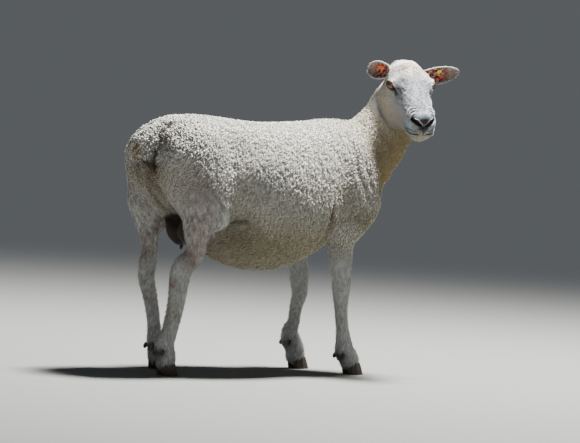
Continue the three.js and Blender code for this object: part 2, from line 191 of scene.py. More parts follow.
def hindleg_table(stifle, ham, gaskin, hock, fetlock, toe, spread, slim):
    return [
        [-212, 56, 650, 42, 66, 84, 0],
        [-210, 76, 616, 62, 96, 114, 0],
        [-206, 85, 560, 70, 110, 114, 0],
        [stifle - 30, 93, 504, 68, 116, 104, 0],
        [stifle - 34, 104, 448, 56, 92, ham - 12, 0],
        [gaskin + 14, 113, 390, 34 * slim, 24 * slim, (ham - 40) * slim, 0],
        [gaskin, 110, 336, 25 * slim, 28 * slim, 28 * slim, 0],
        [hock + 6, spread + 10, 290, 24 * slim, 27 * slim, 36 * slim, 0],
        [hock - 1, spread + 7, 256, 24 * slim, 24 * slim, 33 * slim, 0],
        [(3 * hock + fetlock) / 4 + 2, spread + 5, 208, 22 * slim, 24 * slim, 27 * slim, 0],
        [(hock + fetlock) / 2 + 3, spread + 3, 162, 21 * slim, 24 * slim, 23 * slim, 0],
        [(hock + 3 * fetlock) / 4 + 2, spread + 1, 118, 21 * slim, 24 * slim, 23 * slim, 0],
        [fetlock, spread, 80, 25 * slim, 26 * slim, 30 * slim, 0],
        [(fetlock + toe) / 2 - 13, spread, 52, 26, 27, 28, 0],
        [toe - 37, spread, 31, 26, 27, 24, 0],
        [toe - 33, spread, 18, 17, 15, 14, 0],
    ]


# ---- Frames ----
def head_matrix():
    heading, tilt, pitch = (math.radians(a) for a in HEAD_TURN)
    turn = Matrix.Rotation(heading, 4, "Z") @ Matrix.Rotation(tilt, 4, "X") @ Matrix.Rotation(pitch, 4, "Y")
    return Matrix.Translation(POLL) @ turn


HEAD = np.array(head_matrix())


def to_head(points):
    return (points - HEAD[:3, 3]) @ HEAD[:3, :3]


def from_head(points):
    return np.asarray(points, float) @ HEAD[:3, :3].T + HEAD[:3, 3]


def eye_centre(side):
    """The middle of an eye in the skull's frame."""
    return np.array(EYE_PLACE) * (1, side, 1)


def part_shift():
    """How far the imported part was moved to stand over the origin, from the place of an eye."""
    low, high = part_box("eye_right")
    return (np.array(low) + np.array(high)) * 500 - from_head(eye_centre(-1))


SHIFT = part_shift()


def to_metres(points):
    return (np.asarray(points) + SHIFT) / 1000


def unit(vectors):
    vectors = np.asarray(vectors, float)
    return vectors / np.maximum(np.linalg.norm(vectors, axis=-1, keepdims=True), 1e-9)


def step(x, low, high):
    t = np.clip((x - low) / (high - low), 0, 1)
    return t * t * (3 - 2 * t)


def spot(points, centre, radius):
    """1 at the centre of a mark, fading to 0 well outside its radius."""
    return np.exp(-(((points - np.array(centre)) / np.array(radius)) ** 2).sum(-1))


def ridge(away, width, power=2):
    """1 on a line and fading to 0 over a width on both sides of it, from the distance away."""
    return np.exp(-((away / width) ** power))


def mirror(points, side):
    """Points of one side, laid over on the right side."""
    return points * (1, -side, 1)


def on_right(points):
    """Each point, or its mirrored place where it lies on the left."""
    return points * np.where(points[:, 1:2] > 0, (1, -1, 1), 1)


def line_gap(points, path):
    """Distance from a run of straight lines, and how far along it as a share."""
    path = np.asarray(path, float)
    lengths = np.linalg.norm(np.diff(path, axis=0), axis=1)
    starts = np.concatenate([[0], np.cumsum(lengths)])
    best, share = np.full(len(points), 1e9), np.zeros(len(points))
    for k in range(len(path) - 1):
        way = path[k + 1] - path[k]
        t = np.clip(((points - path[k]) @ way) / (way @ way), 0, 1)
        away = np.linalg.norm(points - path[k] - t[:, None] * way, axis=1)
        closer = away < best
        best[closer] = away[closer]
        share[closer] = (starts[k] + t[closer] * lengths[k]) / starts[-1]
    return best, share


# ---- Forms: sections strung along a bone line, as a gap from the surface (negative inside) ----
def spread_rows(table, count):
    """The rows of a section table drawn out into count rows by a smooth curve."""
    table = np.asarray(table, float)
    moves = np.diff(table[:, :3], axis=0) * (1, 0.5, 0.5)
    times = np.concatenate([[0], np.cumsum(np.linalg.norm(moves, axis=1))])
    wanted = np.linspace(0, times[-1], count)
    k = np.clip(np.searchsorted(times, wanted, side="right") - 1, 0, len(times) - 2)
    last = len(times) - 1
    before = np.where(k > 0, k - 1, k + 1)
    after = np.where(k + 2 <= last, k + 2, k)
    half = (times[k + 1] - times[k]) / 2
    pull_in = (half / (times[k] - times[before]))[:, None]
    pull_out = (half / (times[after] - times[k + 1]))[:, None]
    p = ((wanted - times[k]) / (times[k + 1] - times[k]))[:, None]
    return (
        (-pull_in * p**3 + 2 * pull_in * p**2 - pull_in * p) * table[before]
        + ((1 + pull_in) * p**3 + (-1.5 - 2 * pull_in) * p**2 + (-0.5 + pull_in) * p + 1) * table[k]
        + ((-1 - pull_out) * p**3 + (1.5 + pull_out) * p**2 + 0.5 * p) * table[k + 1]
        + (pull_out * p**3 - pull_out * p**2) * table[after]
    )


def lying(table):
    return [[x, 0, widest, half, top - widest, widest - under, 0] for x, top, under, half, widest in table]


def leaning(table, side=1):
    return [[x - LEAN * z, side * y, z, *rest] for x, y, z, *rest in table]


class Form:
    def __init__(self, table, square=2.0, lengthwise=False, count=56):
        rows = spread_rows(table, count)
        self.centre, self.square, self.lengthwise = rows[:, :3], square, lengthwise
        along = np.gradient(self.centre, axis=0)
        if lengthwise:
            along = np.tile([1.0, 0, 0], (count, 1))
        self.along = unit(along)
        heading = np.radians(rows[:, 6])
        across = np.stack([-np.sin(heading), np.cos(heading), np.zeros(count)], 1)
        across -= self.along * (across * self.along).sum(1, keepdims=True)
        self.across = unit(across)
        self.front = np.cross(self.along, self.across)
        self.reach = rows[:, 3:6]
        widest = self.reach.max() + 24
        self.low, self.high = self.centre.min(0) - widest, self.centre.max(0) + widest

    def places(self, points):
        """Where along the rows each point lies, as a row number with a fraction."""
        if self.lengthwise:
            return np.interp(points[:, 0], self.centre[:, 0], np.arange(len(self.centre)))
        nearest = np.empty(len(points), int)
        for at in range(0, len(points), 60000):
            some = points[at : at + 60000]
            square = -2 * some @ self.centre.T + (self.centre**2).sum(1)
            nearest[at : at + 60000] = square.argmin(1)
        past = ((points - self.centre[nearest]) * self.along[nearest]).sum(1)
        length = np.linalg.norm(self.centre[1] - self.centre[0]) + 1e-9
        return np.clip(nearest + np.clip(past / length, -1, 1), 0, len(self.centre) - 1)

    def local(self, points):
        """Across, forward, past-the-end and place of each point, with the section's three reaches."""
        place = self.places(points)
        i = np.minimum(place.astype(int), len(self.centre) - 2)
        f = (place - i)[:, None]

        def at(rows):
            return rows[i] * (1 - f) + rows[i + 1] * f

        away = points - at(self.centre)
        across, front, along = at(self.across), at(self.front), at(self.along)
        u, v, w = ((away * axis).sum(1) for axis in (across, front, along))
        return u, v, w, place / (len(self.centre) - 1), at(self.reach)

    def gap(self, points):
        u, v, w, _, reach = self.local(points)
        tall = np.where(v > 0, reach[:, 1], reach[:, 2])
        both = np.abs(u / reach[:, 0]) ** self.square + np.abs(v / tall) ** self.square
        ratio = both ** (1 / self.square)
        ratio = np.hypot(ratio, w / (0.35 * reach[:, 0] + 2))
        ratio = np.maximum(ratio, 1e-4)
        return (ratio - 1) * np.sqrt(u**2 + v**2 + w**2) / ratio


class Lump:
    def __init__(self, centre, radii):
        self.centre, self.radii = np.array(centre, float), np.array(radii, float)
        self.low, self.high = self.centre - self.radii - 24, self.centre + self.radii + 24

    def gap(self, points):
        away = points - self.centre
        ratio = np.maximum(np.linalg.norm(away / self.radii, axis=1), 1e-4)
        return (ratio - 1) * np.linalg.norm(away, axis=1) / ratio


def blend(a, b, width):
    """The nearer of two gaps, with the crease between them filled over the given width."""
    h = np.maximum(width - np.abs(a - b), 0) / width
    return np.minimum(a, b) - h * h * width / 4


FAR_GAP = 60.0


def joined(shapes, points):
    """The gap from all of the shapes, each blended into those before it."""
    gap = np.full(len(points), FAR_GAP)
    for shape, width in shapes:
        near = ((points > shape.low) & (points < shape.high)).all(1)
        gap[near] = blend(gap[near], shape.gap(points[near]), width)
    return gap


LEG_TABLE = {"foreleg": foreleg_table, "hindleg": hindleg_table}


def body_forms():
    """Every form below the head, each with the width of its blend into the others."""
    forms = {"trunk": (Form(leaning(lying(TRUNK)), 2.15, lengthwise=True, count=120), 1)}
    forms["neck"] = (Form(leaning(NECK)), 40)
    for name, stance in STANCE.items():
        measures = {key: value for key, value in stance.items() if key != "side"}
        rows = LEG_TABLE[name.split("_")[0]](**measures)
        forms[name] = (Form(leaning(rows, stance["side"]), 2.1, count=90), 18)
    forms["tail"] = (Form(leaning(TAIL)), 7)
    for hand, side in SIDES.items():
        half = [[x, side * y, *rest] for x, y, *rest in UDDER]
        forms[f"udder_{hand}"] = (Form(half, count=24), 12)
        forms[f"teat_{hand}"] = (Lump((-200, side * 33, 350), (8, 8, 17)), 6)
    return forms


BODY_FORMS = body_forms()
SKULL_FORM = Form(lying(SKULL), 2.4, lengthwise=True, count=120)
HEAD_FORMS = [(SKULL_FORM, 1)] + [(Lump(*lump), 12) for lump in SKULL_LUMPS.values()]
HEAD_FORMS += [(Lump(eye_centre(side), (LID_RADIUS,) * 3), 7) for side in SIDES.values()]

# The hollow between the thighs, below the tail.
CLEFT = [(-385, 0, 550), (-360, 0, 520), (-335, 0, 480), (-290, 0, 445), (-260, 0, 425)]
CLEFT_SIZES = dict(radius=27, width=12, low=(-500, -70, 360), high=(-210, 70, 620))
# The crease down each side of the tail and under its tip, on her right side and mirrored.
TAIL_CREASE = [
    (-320, -40, 680),
    (-340, -40, 655),
    (-355, -45, 630),
    (-365, -45, 600),
    (-370, -40, 570),
    (-385, -15, 560),
    (-390, 0, 560),
]
TAIL_CREASE_SIZES = dict(radius=10, width=5, low=(-500, -300, 520), high=(-290, 300, 710))


def carve(gap, points, path, radius, width, low, high):
    """Takes a round groove out of the forms along a path, for the points within a box."""
    near = ((points > low) & (points < high)).all(1)
    groove = radius - line_gap(on_right(points[near]), path)[0]
    gap[near] = -blend(-gap[near], -groove, width)


def head_gap(points):
    return joined(HEAD_FORMS, to_head(points))


def woolly(points):
    """1 where she carries wool and 0 where her hair is short."""
    h = to_head(points)
    on_face = step(h[:, 0], 2, 34) * step(-head_gap(points) + 26, 0, 14)
    on_face *= step(points[:, 2], 690, 730)
    haunch = step(-points[:, 0], 120, 200)
    belly = step(points[:, 0], -175, -145) * step(-points[:, 0], -215, -195)
    on_leg = (1 - step(points[:, 2], 300 + 130 * haunch, 385 + 170 * haunch)) * (1 - belly)
    return (1 - on_face) * (1 - on_leg)


def outer_gap(points):
    """The gap from the tips of the coat."""
    body = joined(BODY_FORMS.values(), points)
    carve(body, points, CLEFT, **CLEFT_SIZES)
    carve(body, points, TAIL_CREASE, **TAIL_CREASE_SIZES)
    return blend(body, head_gap(points), 6)


def skin_gap(points):
    wool = woolly(points)
    return outer_gap(points) + HAIR_DEPTH + (WOOL_DEPTH - HAIR_DEPTH) * wool


# ---- Skin mesh: one surface round every form, with finer faces on the head ----
def first_mesh():
    """The skin as even faces all over, cut from a grid of gaps."""
    low, high = np.array(SKIN_LOW), np.array(SKIN_HIGH)
    counts = np.ceil((high - low) / SKIN_GRID).astype(int)
    axes = [low[k] + SKIN_GRID * np.arange(counts[k]) for k in range(3)]
    grid = np.stack(np.meshgrid(*axes, indexing="ij"), -1).reshape(-1, 3)
    values = skin_gap(grid).reshape(counts)
    volume = openvdb.FloatGrid(FAR_GAP)
    volume.copyFromArray(np.clip(values, -FAR_GAP, FAR_GAP).astype(np.float32))
    points, quads = volume.convertToQuads(0.0)
    points = points.astype(float) * SKIN_GRID + low
    return points, np.concatenate([quads[:, [0, 1, 2]], quads[:, [0, 2, 3]]]).astype(int)


def refine(points, faces, chosen):
    """Each chosen triangle parted into four, and its neighbours to match."""
    count = len(points)
    ends = np.stack([faces, np.roll(faces, -1, axis=1)], -1)
    keys = ends.min(-1) * count + ends.max(-1)
    edges, back = np.unique(keys, return_inverse=True)
    back = back.reshape(keys.shape)
    parted = np.zeros(len(edges), bool)
    parted[back[chosen].ravel()] = True
    number = np.full(len(edges), -1)
    number[parted] = count + np.arange(parted.sum())
    middle = (points[edges[parted] // count] + points[edges[parted] % count]) / 2
    m = number[back]
    parts = (m >= 0).sum(1)
    out = [faces[parts == 0]]
    for shift in range(3):
        f, e = np.roll(faces, -shift, axis=1), np.roll(m, -shift, axis=1)
        one = (parts == 1) & (e[:, 0] >= 0)
        halves = ((f[one, 0], e[one, 0], f[one, 2]), (e[one, 0], f[one, 1], f[one, 2]))
        out += [np.stack(corners, 1) for corners in halves]
        two = (parts == 2) & (e[:, 2] < 0)
        out.append(np.stack((e[two, 0], f[two, 1], e[two, 1]), 1))
        out.append(np.stack((f[two, 0], e[two, 0], e[two, 1]), 1))
        out.append(np.stack((f[two, 0], e[two, 1], f[two, 2]), 1))
    f, e = faces[parts == 3], m[parts == 3]
    for corners in ((f[:, 0], e[:, 0], e[:, 2]), (e[:, 0], f[:, 1], e[:, 1]), (e[:, 2], e[:, 1], f[:, 2])):
        out.append(np.stack(corners, 1))
    out.append(e)
    return np.concatenate([points, middle]), np.concatenate(out)


def settle(points, gap, chosen, rounds=2):
    """Moves the chosen points onto the surface where the gap is nothing."""
    for _ in range(rounds):
        some = points[chosen]
        here = gap(some)
        slope = np.stack([gap(some + axis) - gap(some - axis) for axis in np.eye(3) * 0.8], 1) / 1.6
        size = np.maximum((slope**2).sum(1), 0.2)
        points[chosen] = some - slope * np.clip(here / size, -4, 4)[:, None]
    return points


def vertex_normals(points, faces):
    a, b, c = (points[faces[:, k]] for k in range(3))
    cross = np.cross(b - a, c - a)
    normals = np.stack(
        [sum(np.bincount(faces[:, k], cross[:, axis], len(points)) for k in range(3)) for axis in range(3)], 1
    )
    return unit(normals)


def smooth(points, faces, weight, rounds=3):
    """Evens out the mesh where weight says so."""
    pairs = np.concatenate([faces[:, [0, 1]], faces[:, [1, 2]], faces[:, [2, 0]]])
    pairs = np.concatenate([pairs, pairs[:, ::-1]])
    number = np.bincount(pairs[:, 0], minlength=len(points))[:, None]
    for _ in range(rounds):
        total = np.stack([np.bincount(pairs[:, 0], points[pairs[:, 1], k], len(points)) for k in range(3)], 1)
        points = points + weight[:, None] * 0.5 * (total / np.maximum(number, 1) - points)
    return points


# ---- Eyes and lids ----
def eye_frame(side):
    """The axis of an eye, the way to its inner corner, and up, in the skull's frame."""
    axis = unit(np.array(EYE_AXIS) * (1, side, 1))
    forward = np.array([1.0, 0, -0.16])
    inner = unit(forward - axis * (forward @ axis))
    up = np.cross(axis, inner) * side
    if up[2] < 0:
        up = -up
    return axis, inner, up


# Half the opening of the lids, as angles round the eyeball.
OPENING_ACROSS = 0.94
OPENING_UP = 0.58
OPENING_DOWN = 0.54


def lid_margin(h, side):
    """Distance in millimetres from the edge of the lids over the eyeball: negative in the opening."""
    axis, inner, up = eye_frame(side)
    away = h - eye_centre(side)
    across = np.arctan2(away @ inner, away @ axis)
    lift = np.arctan2(away @ up, away @ axis)
    tall = np.where(lift > 0, OPENING_UP, OPENING_DOWN)
    ratio = np.sqrt(np.abs(across / OPENING_ACROSS) ** 2.0 + np.abs(lift / tall) ** 1.7)
    behind = away @ axis < 0
    return np.where(behind, 30, (ratio - 1) * 11.5), lift, across, away


def lid_swell():
    """The middle of the swelling over the right eye."""
    axis, _, up = eye_frame(-1)
    return eye_centre(-1) + 12 * axis + 19 * up


# Lines on the face for the right side, in the skull's frame, mirrored for the left.
FACE_LINES = {
    "tear": [(92, -62, -25), (97, -57, -22), (103, -55, -24), (109, -52, -29), (113, -50, -37)],
    "tear_pit": [(113, -50, -38)],
    "nostril": [(230, -33, -37), (238, -29, -36), (245, -22, -37.5), (250, -14, -42), (249, -7, -47)],
    "nostril_rim": [(236, -25, -32), (240, -18, -32), (245, -13, -35), (246, -6, -41), (246, -1, -44)],
    "mouth": [
        (186, -46, -88),
        (204, -44, -84),
        (222, -40, -80),
        (238, -32, -77),
        (248, -24, -76),
        (254, 0, -76),
    ],
    "lip_edge": [(222, -41, -73), (232, -36, -69), (242, -28, -65), (250, -17, -64)],
    "philtrum": [(247, 0, -44), (252, 0, -51), (255, 0, -62), (254, 0, -74)],
    "wrinkle_1": [(206, -39, -40), (200, -36, -33), (196, -30, -25), (197, -24, -20), (201, -15, -17)],
    "wrinkle_2": [(212, -36, -36), (208, -31, -27), (208, -25, -22), (210, -15, -18)],
    "wrinkle_3": [(221, -33, -34), (219, -28, -28), (220, -21, -24)],
    "brow": [(14, -53, -41), (20, -45, -22), (34, -35, -6)],
    "cheek_bar": [(98, -52, -66), (140, -46, -52)],
}
LID_FOLD = 0.98
# Swells and hollows of the face on the right side: middle, reach and height.
FACE_SWELLS = [
    ("hollow before the eye", (128, -46, -34), (20, 12, 12), -2.2),
    ("hollow behind the corner of the mouth", (150, -44, -92), (26, 12, 12), -2.0),
    ("hollow before the cheek", (96, -60, -100), (12, 14, 34), -2.5),
    ("hollow behind the eye", (34, -52, -44), (10, 12, 14), -2.6),
    ("rim over the eye", (60, -50, -4), (26, 14, 10), 1.6),
    ("swelling of the upper lid", lid_swell(), (9, 9, 9), 2.6),
]
WRINKLES = ("wrinkle_1", "wrinkle_2", "wrinkle_3")


def lay_path(path, near):
    """A path drawn onto the nearest places of the skin."""
    path = np.array(path, float)
    spots = np.linspace(0, len(path) - 1, 4 * len(path))
    path = np.stack([np.interp(spots, np.arange(len(path)), path[:, k]) for k in range(3)], 1)
    return np.array([near[((near - p) ** 2).sum(1).argmin()] for p in path])


def lay_lines(points):
    """The lines of the face, the folds and the crease of the tail, drawn onto the shaped skin."""
    h = to_head(points)
    face = h[(h[:, 0] > 60) & (h[:, 1] < 4)]
    body = points[points[:, 1] < 4]
    return dict(
        face={name: lay_path(path, face) for name, path in FACE_LINES.items()},
        folds=[(lay_path(path, body), *sizes) for path, *sizes in FOLDS.values()],
        tail=lay_path(TAIL_CREASE, body),
    )


def face_relief(h, lines):
    """How far the skin of the face stands out or in, millimetres, in the skull's frame."""
    out = np.zeros(len(h))
    for side in SIDES.values():
        m = mirror(h, side)
        mine = step(side * h[:, 1], -2, 2)
        tear, _ = line_gap(m, lines["tear"])
        out -= mine * 2.4 * ridge(tear, 2.1)
        out += mine * 1.2 * ridge(tear - 5, 2.2)
        out -= mine * 3.0 * spot(m, lines["tear_pit"][0], 4.2)
        mouth, share = line_gap(m, lines["mouth"])
        out -= mine * 3.4 * ridge(mouth, 1.7) * step(share, 0.0, 0.25)
        above = m[:, 2] > -76 - 0.16 * (m[:, 0] - 250)
        out += mine * 1.6 * ridge(mouth - 4.5, 3.0) * np.where(above, 0.9, 1.1)
        for number, name in enumerate(WRINKLES):
            near, share = line_gap(m, lines[name])
            fade = np.sin(np.pi * np.clip(share * 0.86 + 0.12, 0, 1))
            out += mine * (2.9 - 0.3 * number) * ridge(near, 1.9) * fade
            out -= mine * (1.8 - 0.2 * number) * ridge(near - 4.2, 1.9) * fade
        for name, height, width in (("nostril_rim", 1.3, 1.6), ("brow", -1.6, 3.0), ("cheek_bar", 2.4, 9)):
            out += mine * height * ridge(line_gap(m, lines[name])[0], width)
        for name, centre, radius, height in FACE_SWELLS:
            out += mine * height * spot(m, centre, radius)
    groove, _ = line_gap(h, lines["philtrum"])
    out -= 2.0 * ridge(groove, 1.5)
    out += 0.9 * ridge(groove - 4, 2.4)
    out -= 1.5 * spot(h, (70, 0, 4), (40, 12, 14))
    return out


def nostril_depth(h, lines):
    """1 in the hollow of a nostril, a comma that is widest at its middle."""
    deep = np.zeros(len(h))
    for side in SIDES.values():
        near, share = line_gap(mirror(h, side), lines["nostril"])
        half = 1.8 + 4.4 * np.sin(np.pi * np.clip(0.12 + 0.8 * share, 0, 1))
        deep = np.maximum(deep, (1 - step(near, 0.7 * half, 1.15 * half)) * step(side * h[:, 1], 1.0, 4.0))
    return deep


def nose_plate(h):
    """1 on the bare slate skin between and over the nostrils."""
    aside = np.abs(h[:, 1])
    top = -17 - 9 * (aside / 31) ** 2
    foot = np.interp(aside, [0, 5, 13, 17, 24, 33], [-44, -42, -36, -33, -33, -38])
    within = step(top - h[:, 2], -3, 4) * step(h[:, 2] - foot, -1.2, 1.2) * step(-aside, -35, -31)
    return step(h[:, 0], 212, 220) * within


def shape_lids(points):
    """Opens the lids over each eyeball, with a fold above and a pouch below."""
    h = to_head(points)
    for side in SIDES.values():
        margin, lift, across, away = lid_margin(h, side)
        radius = np.linalg.norm(away, axis=1)
        near = (radius < 30) & (margin < 29)
        way = unit(away)
        inside = EYE_RADIUS - 2.6
        wanted = inside + (LID_RADIUS - inside) * step(margin, -0.7, 0.9)
        rim = ridge(margin - 1.6, 1.5) * 0.7
        over = near & (margin < 3.5)
        hold = np.where(margin < 1.0, 1.0, 1 - step(margin, 1.0, 3.5))
        target = np.where(margin < 1.0, wanted, np.maximum(radius, LID_RADIUS)) + rim
        moved = radius + (target - radius) * hold
        h = np.where(over[:, None], eye_centre(side) + way * moved[:, None], h)
        fold = ridge((lift - LID_FOLD) * 15, 1.5) * (np.abs(across) < 1.2) * (lift > 0)
        pouch = ridge((lift + 1.0) * 15, 1.8) * (np.abs(across) < 1.1) * (lift < 0)
        crease = near * (1.7 * fold + 0.9 * pouch) * step(margin, 1.5, 4) * (1 - step(radius, 22, 29))
        h = h - way * crease[:, None]
    return from_head(h)


def neck_ripples(points):
    """The fine ripples of shorn skin that run round the neck."""
    x, y, z = points.T
    from_face = head_gap(points)
    neck = step(x, 300, 380) * step(z, 430, 560) * (1 - step(from_face, 40, 4)) * (from_face > 4)
    bend = x * 0.86 + z * 0.5 - 0.25 * y
    waver = 14 * np.sin(y / 31 + z / 70) + 9 * np.sin(z / 23 + 1.3)
    sweep = np.sin((bend + waver) * 2 * np.pi / 62)
    return neck * 1.7 * (np.abs(sweep) ** 0.8 * np.sign(sweep)) * step(-y, -60, 30)


def hock_ripple(points, leg, level, reach):
    """The fine cross ripples of the skin below one hock."""
    x, y, z = points.T
    stance = STANCE[leg]
    middle = ((stance["hock"] + stance["fetlock"]) / 2 - 12, stance["side"] * stance["spread"], level)
    on = spot(points, middle, (34, 30, reach))
    return on * 1.5 * np.sin(z / 2.7 + 0.035 * (x - middle[0]) + 1.2 * np.sin(y / 9))


def skin_folds(points, folds):
    """The soft folds of loose shorn skin on neck, breast, shoulder and flank."""
    out = neck_ripples(points)
    for path, width, depth, sides in folds:
        for side in sides:
            near, share = line_gap(mirror(points, side), path)
            fade = np.sin(np.pi * np.clip(share, 0.02, 0.98)) ** 0.6 * (1 if side < 0 else 0.8)
            out -= depth * fade * ridge(near, width)
            out += 0.6 * depth * fade * ridge(near - 1.8 * width, width)
    for name, centre, radius, height in SWELLS:
        for side in SIDES.values():
            out += height * spot(mirror(points, side), centre, radius)
    for leg, level, reach in (("hindleg_right", 196, 44), ("hindleg_left", 200, 40)):
        out += hock_ripple(points, leg, level, reach)
    return out


# Swells and hollows over muscle and bone on her right side, mirrored: middle, reach and height.
SWELLS = [
    ("hollow of the flank", (-120, -130, 620), (52, 40, 46), -7.0),
    ("point of the hip", (-170, -95, 690), (26, 26, 16), 4.0),
    ("last ribs", (-60, -150, 560), (120, 50, 60), 2.5),
    ("shoulder blade", (300, -120, 600), (34, 30, 90), 3.5),
    ("hollow behind the shoulder", (215, -130, 600), (26, 30, 110), -3.5),
    ("point of the elbow", (230, -135, 410), (26, 24, 30), 4.0),
    ("muscle of the thigh", (-260, -145, 500), (40, 24, 80), 3.0),
    ("stifle", (-205, -145, 440), (22, 22, 40), 4.0),
    ("hollow beside the tail", (-320, -100, 640), (22, 26, 20), -4.0),
]
BOTH = (-1, 1)
RIGHT_ONLY = (-1,)
# Folds deeper than this are bare of coat, millimetres.
DEEP_FOLD = 8
# Folds of the skin, drawn on her right side: its path, half width, depth and sides.
FOLDS = {
    "fold over the shoulder blade": (
        [(270, -75, 685), (285, -105, 640), (280, -130, 580), (300, -145, 530), (330, -150, 480)],
        9, 3.0, BOTH,
    ),
    "fold before the shoulder blade": (
        [(320, -85, 660), (310, -130, 585), (320, -145, 545), (335, -150, 500)],
        8, 3.0, BOTH,
    ),
    "fold at the root of the neck": (
        [(390, -90, 640), (370, -120, 580), (350, -140, 520)],
        9, 2.5, BOTH,
    ),
    "deep fold behind the elbow": (
        [(185, -155, 485), (180, -150, 460), (175, -145, 435), (180, -135, 410), (190, -120, 380)],
        9, 13.0, BOTH,
    ),
    "deep fold of the flank": (
        [
            (-180, -100, 370),
            (-180, -115, 395),
            (-165, -125, 415),
            (-145, -130, 425),
            (-120, -140, 430),
            (-95, -150, 425),
        ],
        7, 11.0, BOTH,
    ),
    "crease along the belly": (
        [(-110, -145, 425), (-60, -155, 390), (0, -150, 350), (45, -125, 330)],
        10, 1.8, BOTH,
    ),
    "crease between the thighs": (
        [(-360, -40, 580), (-350, -40, 550), (-320, -30, 500), (-290, -25, 460), (-255, -20, 425)],
        8, 9.5, BOTH,
    ),
    "upper crease over the forearm": (
        [(275, -150, 440), (310, -150, 435), (340, -135, 430)],
        6, 3.0, BOTH,
    ),
    "lower crease over the forearm": (
        [(285, -145, 425), (315, -145, 420), (335, -130, 415)],
        5, 2.5, BOTH,
    ),
    "crease where the neck turns": (
        [
            (435, -10, 800),
            (425, -35, 765),
            (420, -55, 735),
            (430, -65, 720),
            (440, -70, 705),
            (460, -80, 695),
        ],
        5, 4.0, RIGHT_ONLY,
    ),
}
# The patch without wool beside the tail's tip.
BARE_PATCH = ((-360, -42, 560), (12, 14, 20))


# ---- Colours and marks ----
def srgb(code):
    value = np.array([int(code[k : k + 2], 16) for k in (0, 2, 4)]) / 255
    return np.where(value < 0.04045, value / 12.92, ((value + 0.055) / 1.055) ** 2.4)


CREAM_WOOL = srgb("e9e6dd")
WARM_WOOL = srgb("b0a583")
TAN_WOOL = srgb("b3966a")
PALE_HAIR = srgb("bcbdbc")
FACE_HAIR = srgb("bdbcba")
PINK_SKIN = srgb("b08a7a")
RUSSET = srgb("8a5f47")
SHADE_BROWN = srgb("55483a")
DUNG_AND_SHADE_BROWN = srgb("3c2e22")
# Dung on the tail's tip, and painted shade in the crease of the tail.
BARE_BROWN = srgb("6a4538")
SLATE = srgb("39424e")
SOOT = srgb("1d1917")
LIP_PINK = srgb("b98f80")
UDDER_SKIN_AND_SHADE = srgb("2b211d")
EAR_DEEP = srgb("2c1712")
EAR_FLESH = srgb("b8432a")
EAR_HAIR = srgb("b98a78")
EAR_PALE = srgb("d8cfc6")
EAR_GREY = srgb("a3958a")
NECK_TAN = srgb("b9ab86")
THROAT_TAN = srgb("bba67c")
RUST_HAIR = srgb("85695a")
STREAK_DARK = srgb("6d5b51")
STREAK_PALE = srgb("f6f5f3")
BLOTCH_PALE = srgb("f0f0ee")
BRIDGE_GREY = srgb("a7acb3")
BRIDGE_DARK = srgb("545b67")
PLATE_GREY = srgb("66717f")
PLATE_PALE = srgb("aab0b8")
WRINKLE_HIGHLIGHT = srgb("fdfcfa")
WRINKLE_SHADE = srgb("6a7483")
LID_PALE = srgb("f2efe9")
LID_HIGHLIGHT = srgb("fbf9f6")
LIP_DARK = srgb("4b4a3c")
MOUTH_DARK = srgb("1c1510")
NOSTRIL_PINK = srgb("c49a8b")
NOSTRIL_DARK = srgb("0e0a09")
IRIS_DARK = srgb("5a3917")
IRIS_PALE = srgb("b57c40")
HORN_DARK = srgb("17130f")
HORN_PALE = srgb("5c4e40")


def paint(colour, tint, amount):
    amount = np.clip(amount, 0, 1)[:, None]
    return colour * (1 - amount) + tint * amount


def drift(points, size, seed):
    """Soft blotches of about one size, from -1 to 1."""
    total = np.zeros(len(points))
    for k in range(5):
        way = (math.sin(seed + 2.1 * k), math.cos(1.7 * seed + 3.3 * k), math.sin(2.9 * seed + 1.3 * k))
        waves = points @ np.array(way) * (2 * math.pi / size) * (0.8 + 0.23 * k)
        total += np.sin(waves + 4 * math.sin(seed * k + k))
    return np.clip(total / 2.6, -1, 1)


def outer_slope(points, axis):
    """How fast the gap from the coat's tips grows along an axis, from -1 to 1."""
    step_by = np.zeros(3)
    step_by[axis] = 3.0
    return np.clip((outer_gap(points + step_by) - outer_gap(points - step_by)) / 6, -1, 1)


def paint_wool(colour, points, wool):
    """The warmer wool below the belly, round the neck and on the throat."""
    x, _, z = points.T
    facing_up, facing_front = outer_slope(points, 2), outer_slope(points, 0)
    colour = paint(colour, WARM_WOOL, 0.75 * wool * step(facing_up, 0.25, -0.8))
    neck = step(x + 0.5 * z, 560, 700) * wool
    colour = paint(colour, NECK_TAN, neck * (0.4 + 0.6 * step(-facing_up, -0.55, 0.1)))
    throat = step(x, 330, 450) * step(z, 400, 560) * wool
    return paint(colour, THROAT_TAN, 0.8 * throat * step(facing_front, -0.5, 0.7))


def paint_legs(colour, points, wool):
    """The rust blotches of the legs and the streaks of damp hair on thighs and hind legs."""
    x, _, z = points.T
    legs = (1 - wool) ** 0.5 * step(-z, -620, -560) * (x < 420)
    hind = legs * step(-x, 100, 180)
    low = points * (1, 1, 0.7)
    rust = np.clip(drift(low, 46, 1.0) * 0.7 + drift(low, 17, 2.0) * 0.7, 0, 1)
    colour = paint(colour, RUST_HAIR, rust * (0.42 * hind + 0.1 * legs) * step(z, 90, 160))
    lean = points @ np.array([[1, 0, 0], [0, 1, 0], [0.45, 0, 0.35]])
    streaks = np.clip(drift(lean, 15, 7.0) + 0.4 * drift(lean, 8, 9.0), -1, 1) * step(z, 300, 360) * hind
    colour = paint(colour, STREAK_DARK, 0.7 * np.clip(streaks, 0, 1))
    colour = paint(colour, STREAK_PALE, 0.7 * np.clip(-streaks, 0, 1))
    pale = np.clip(drift(points * (1, 1, 0.6), 30, 5.0) + 0.5 * drift(points, 13, 6.0), 0, 1)
    return paint(colour, BLOTCH_PALE, 0.4 * pale * legs)


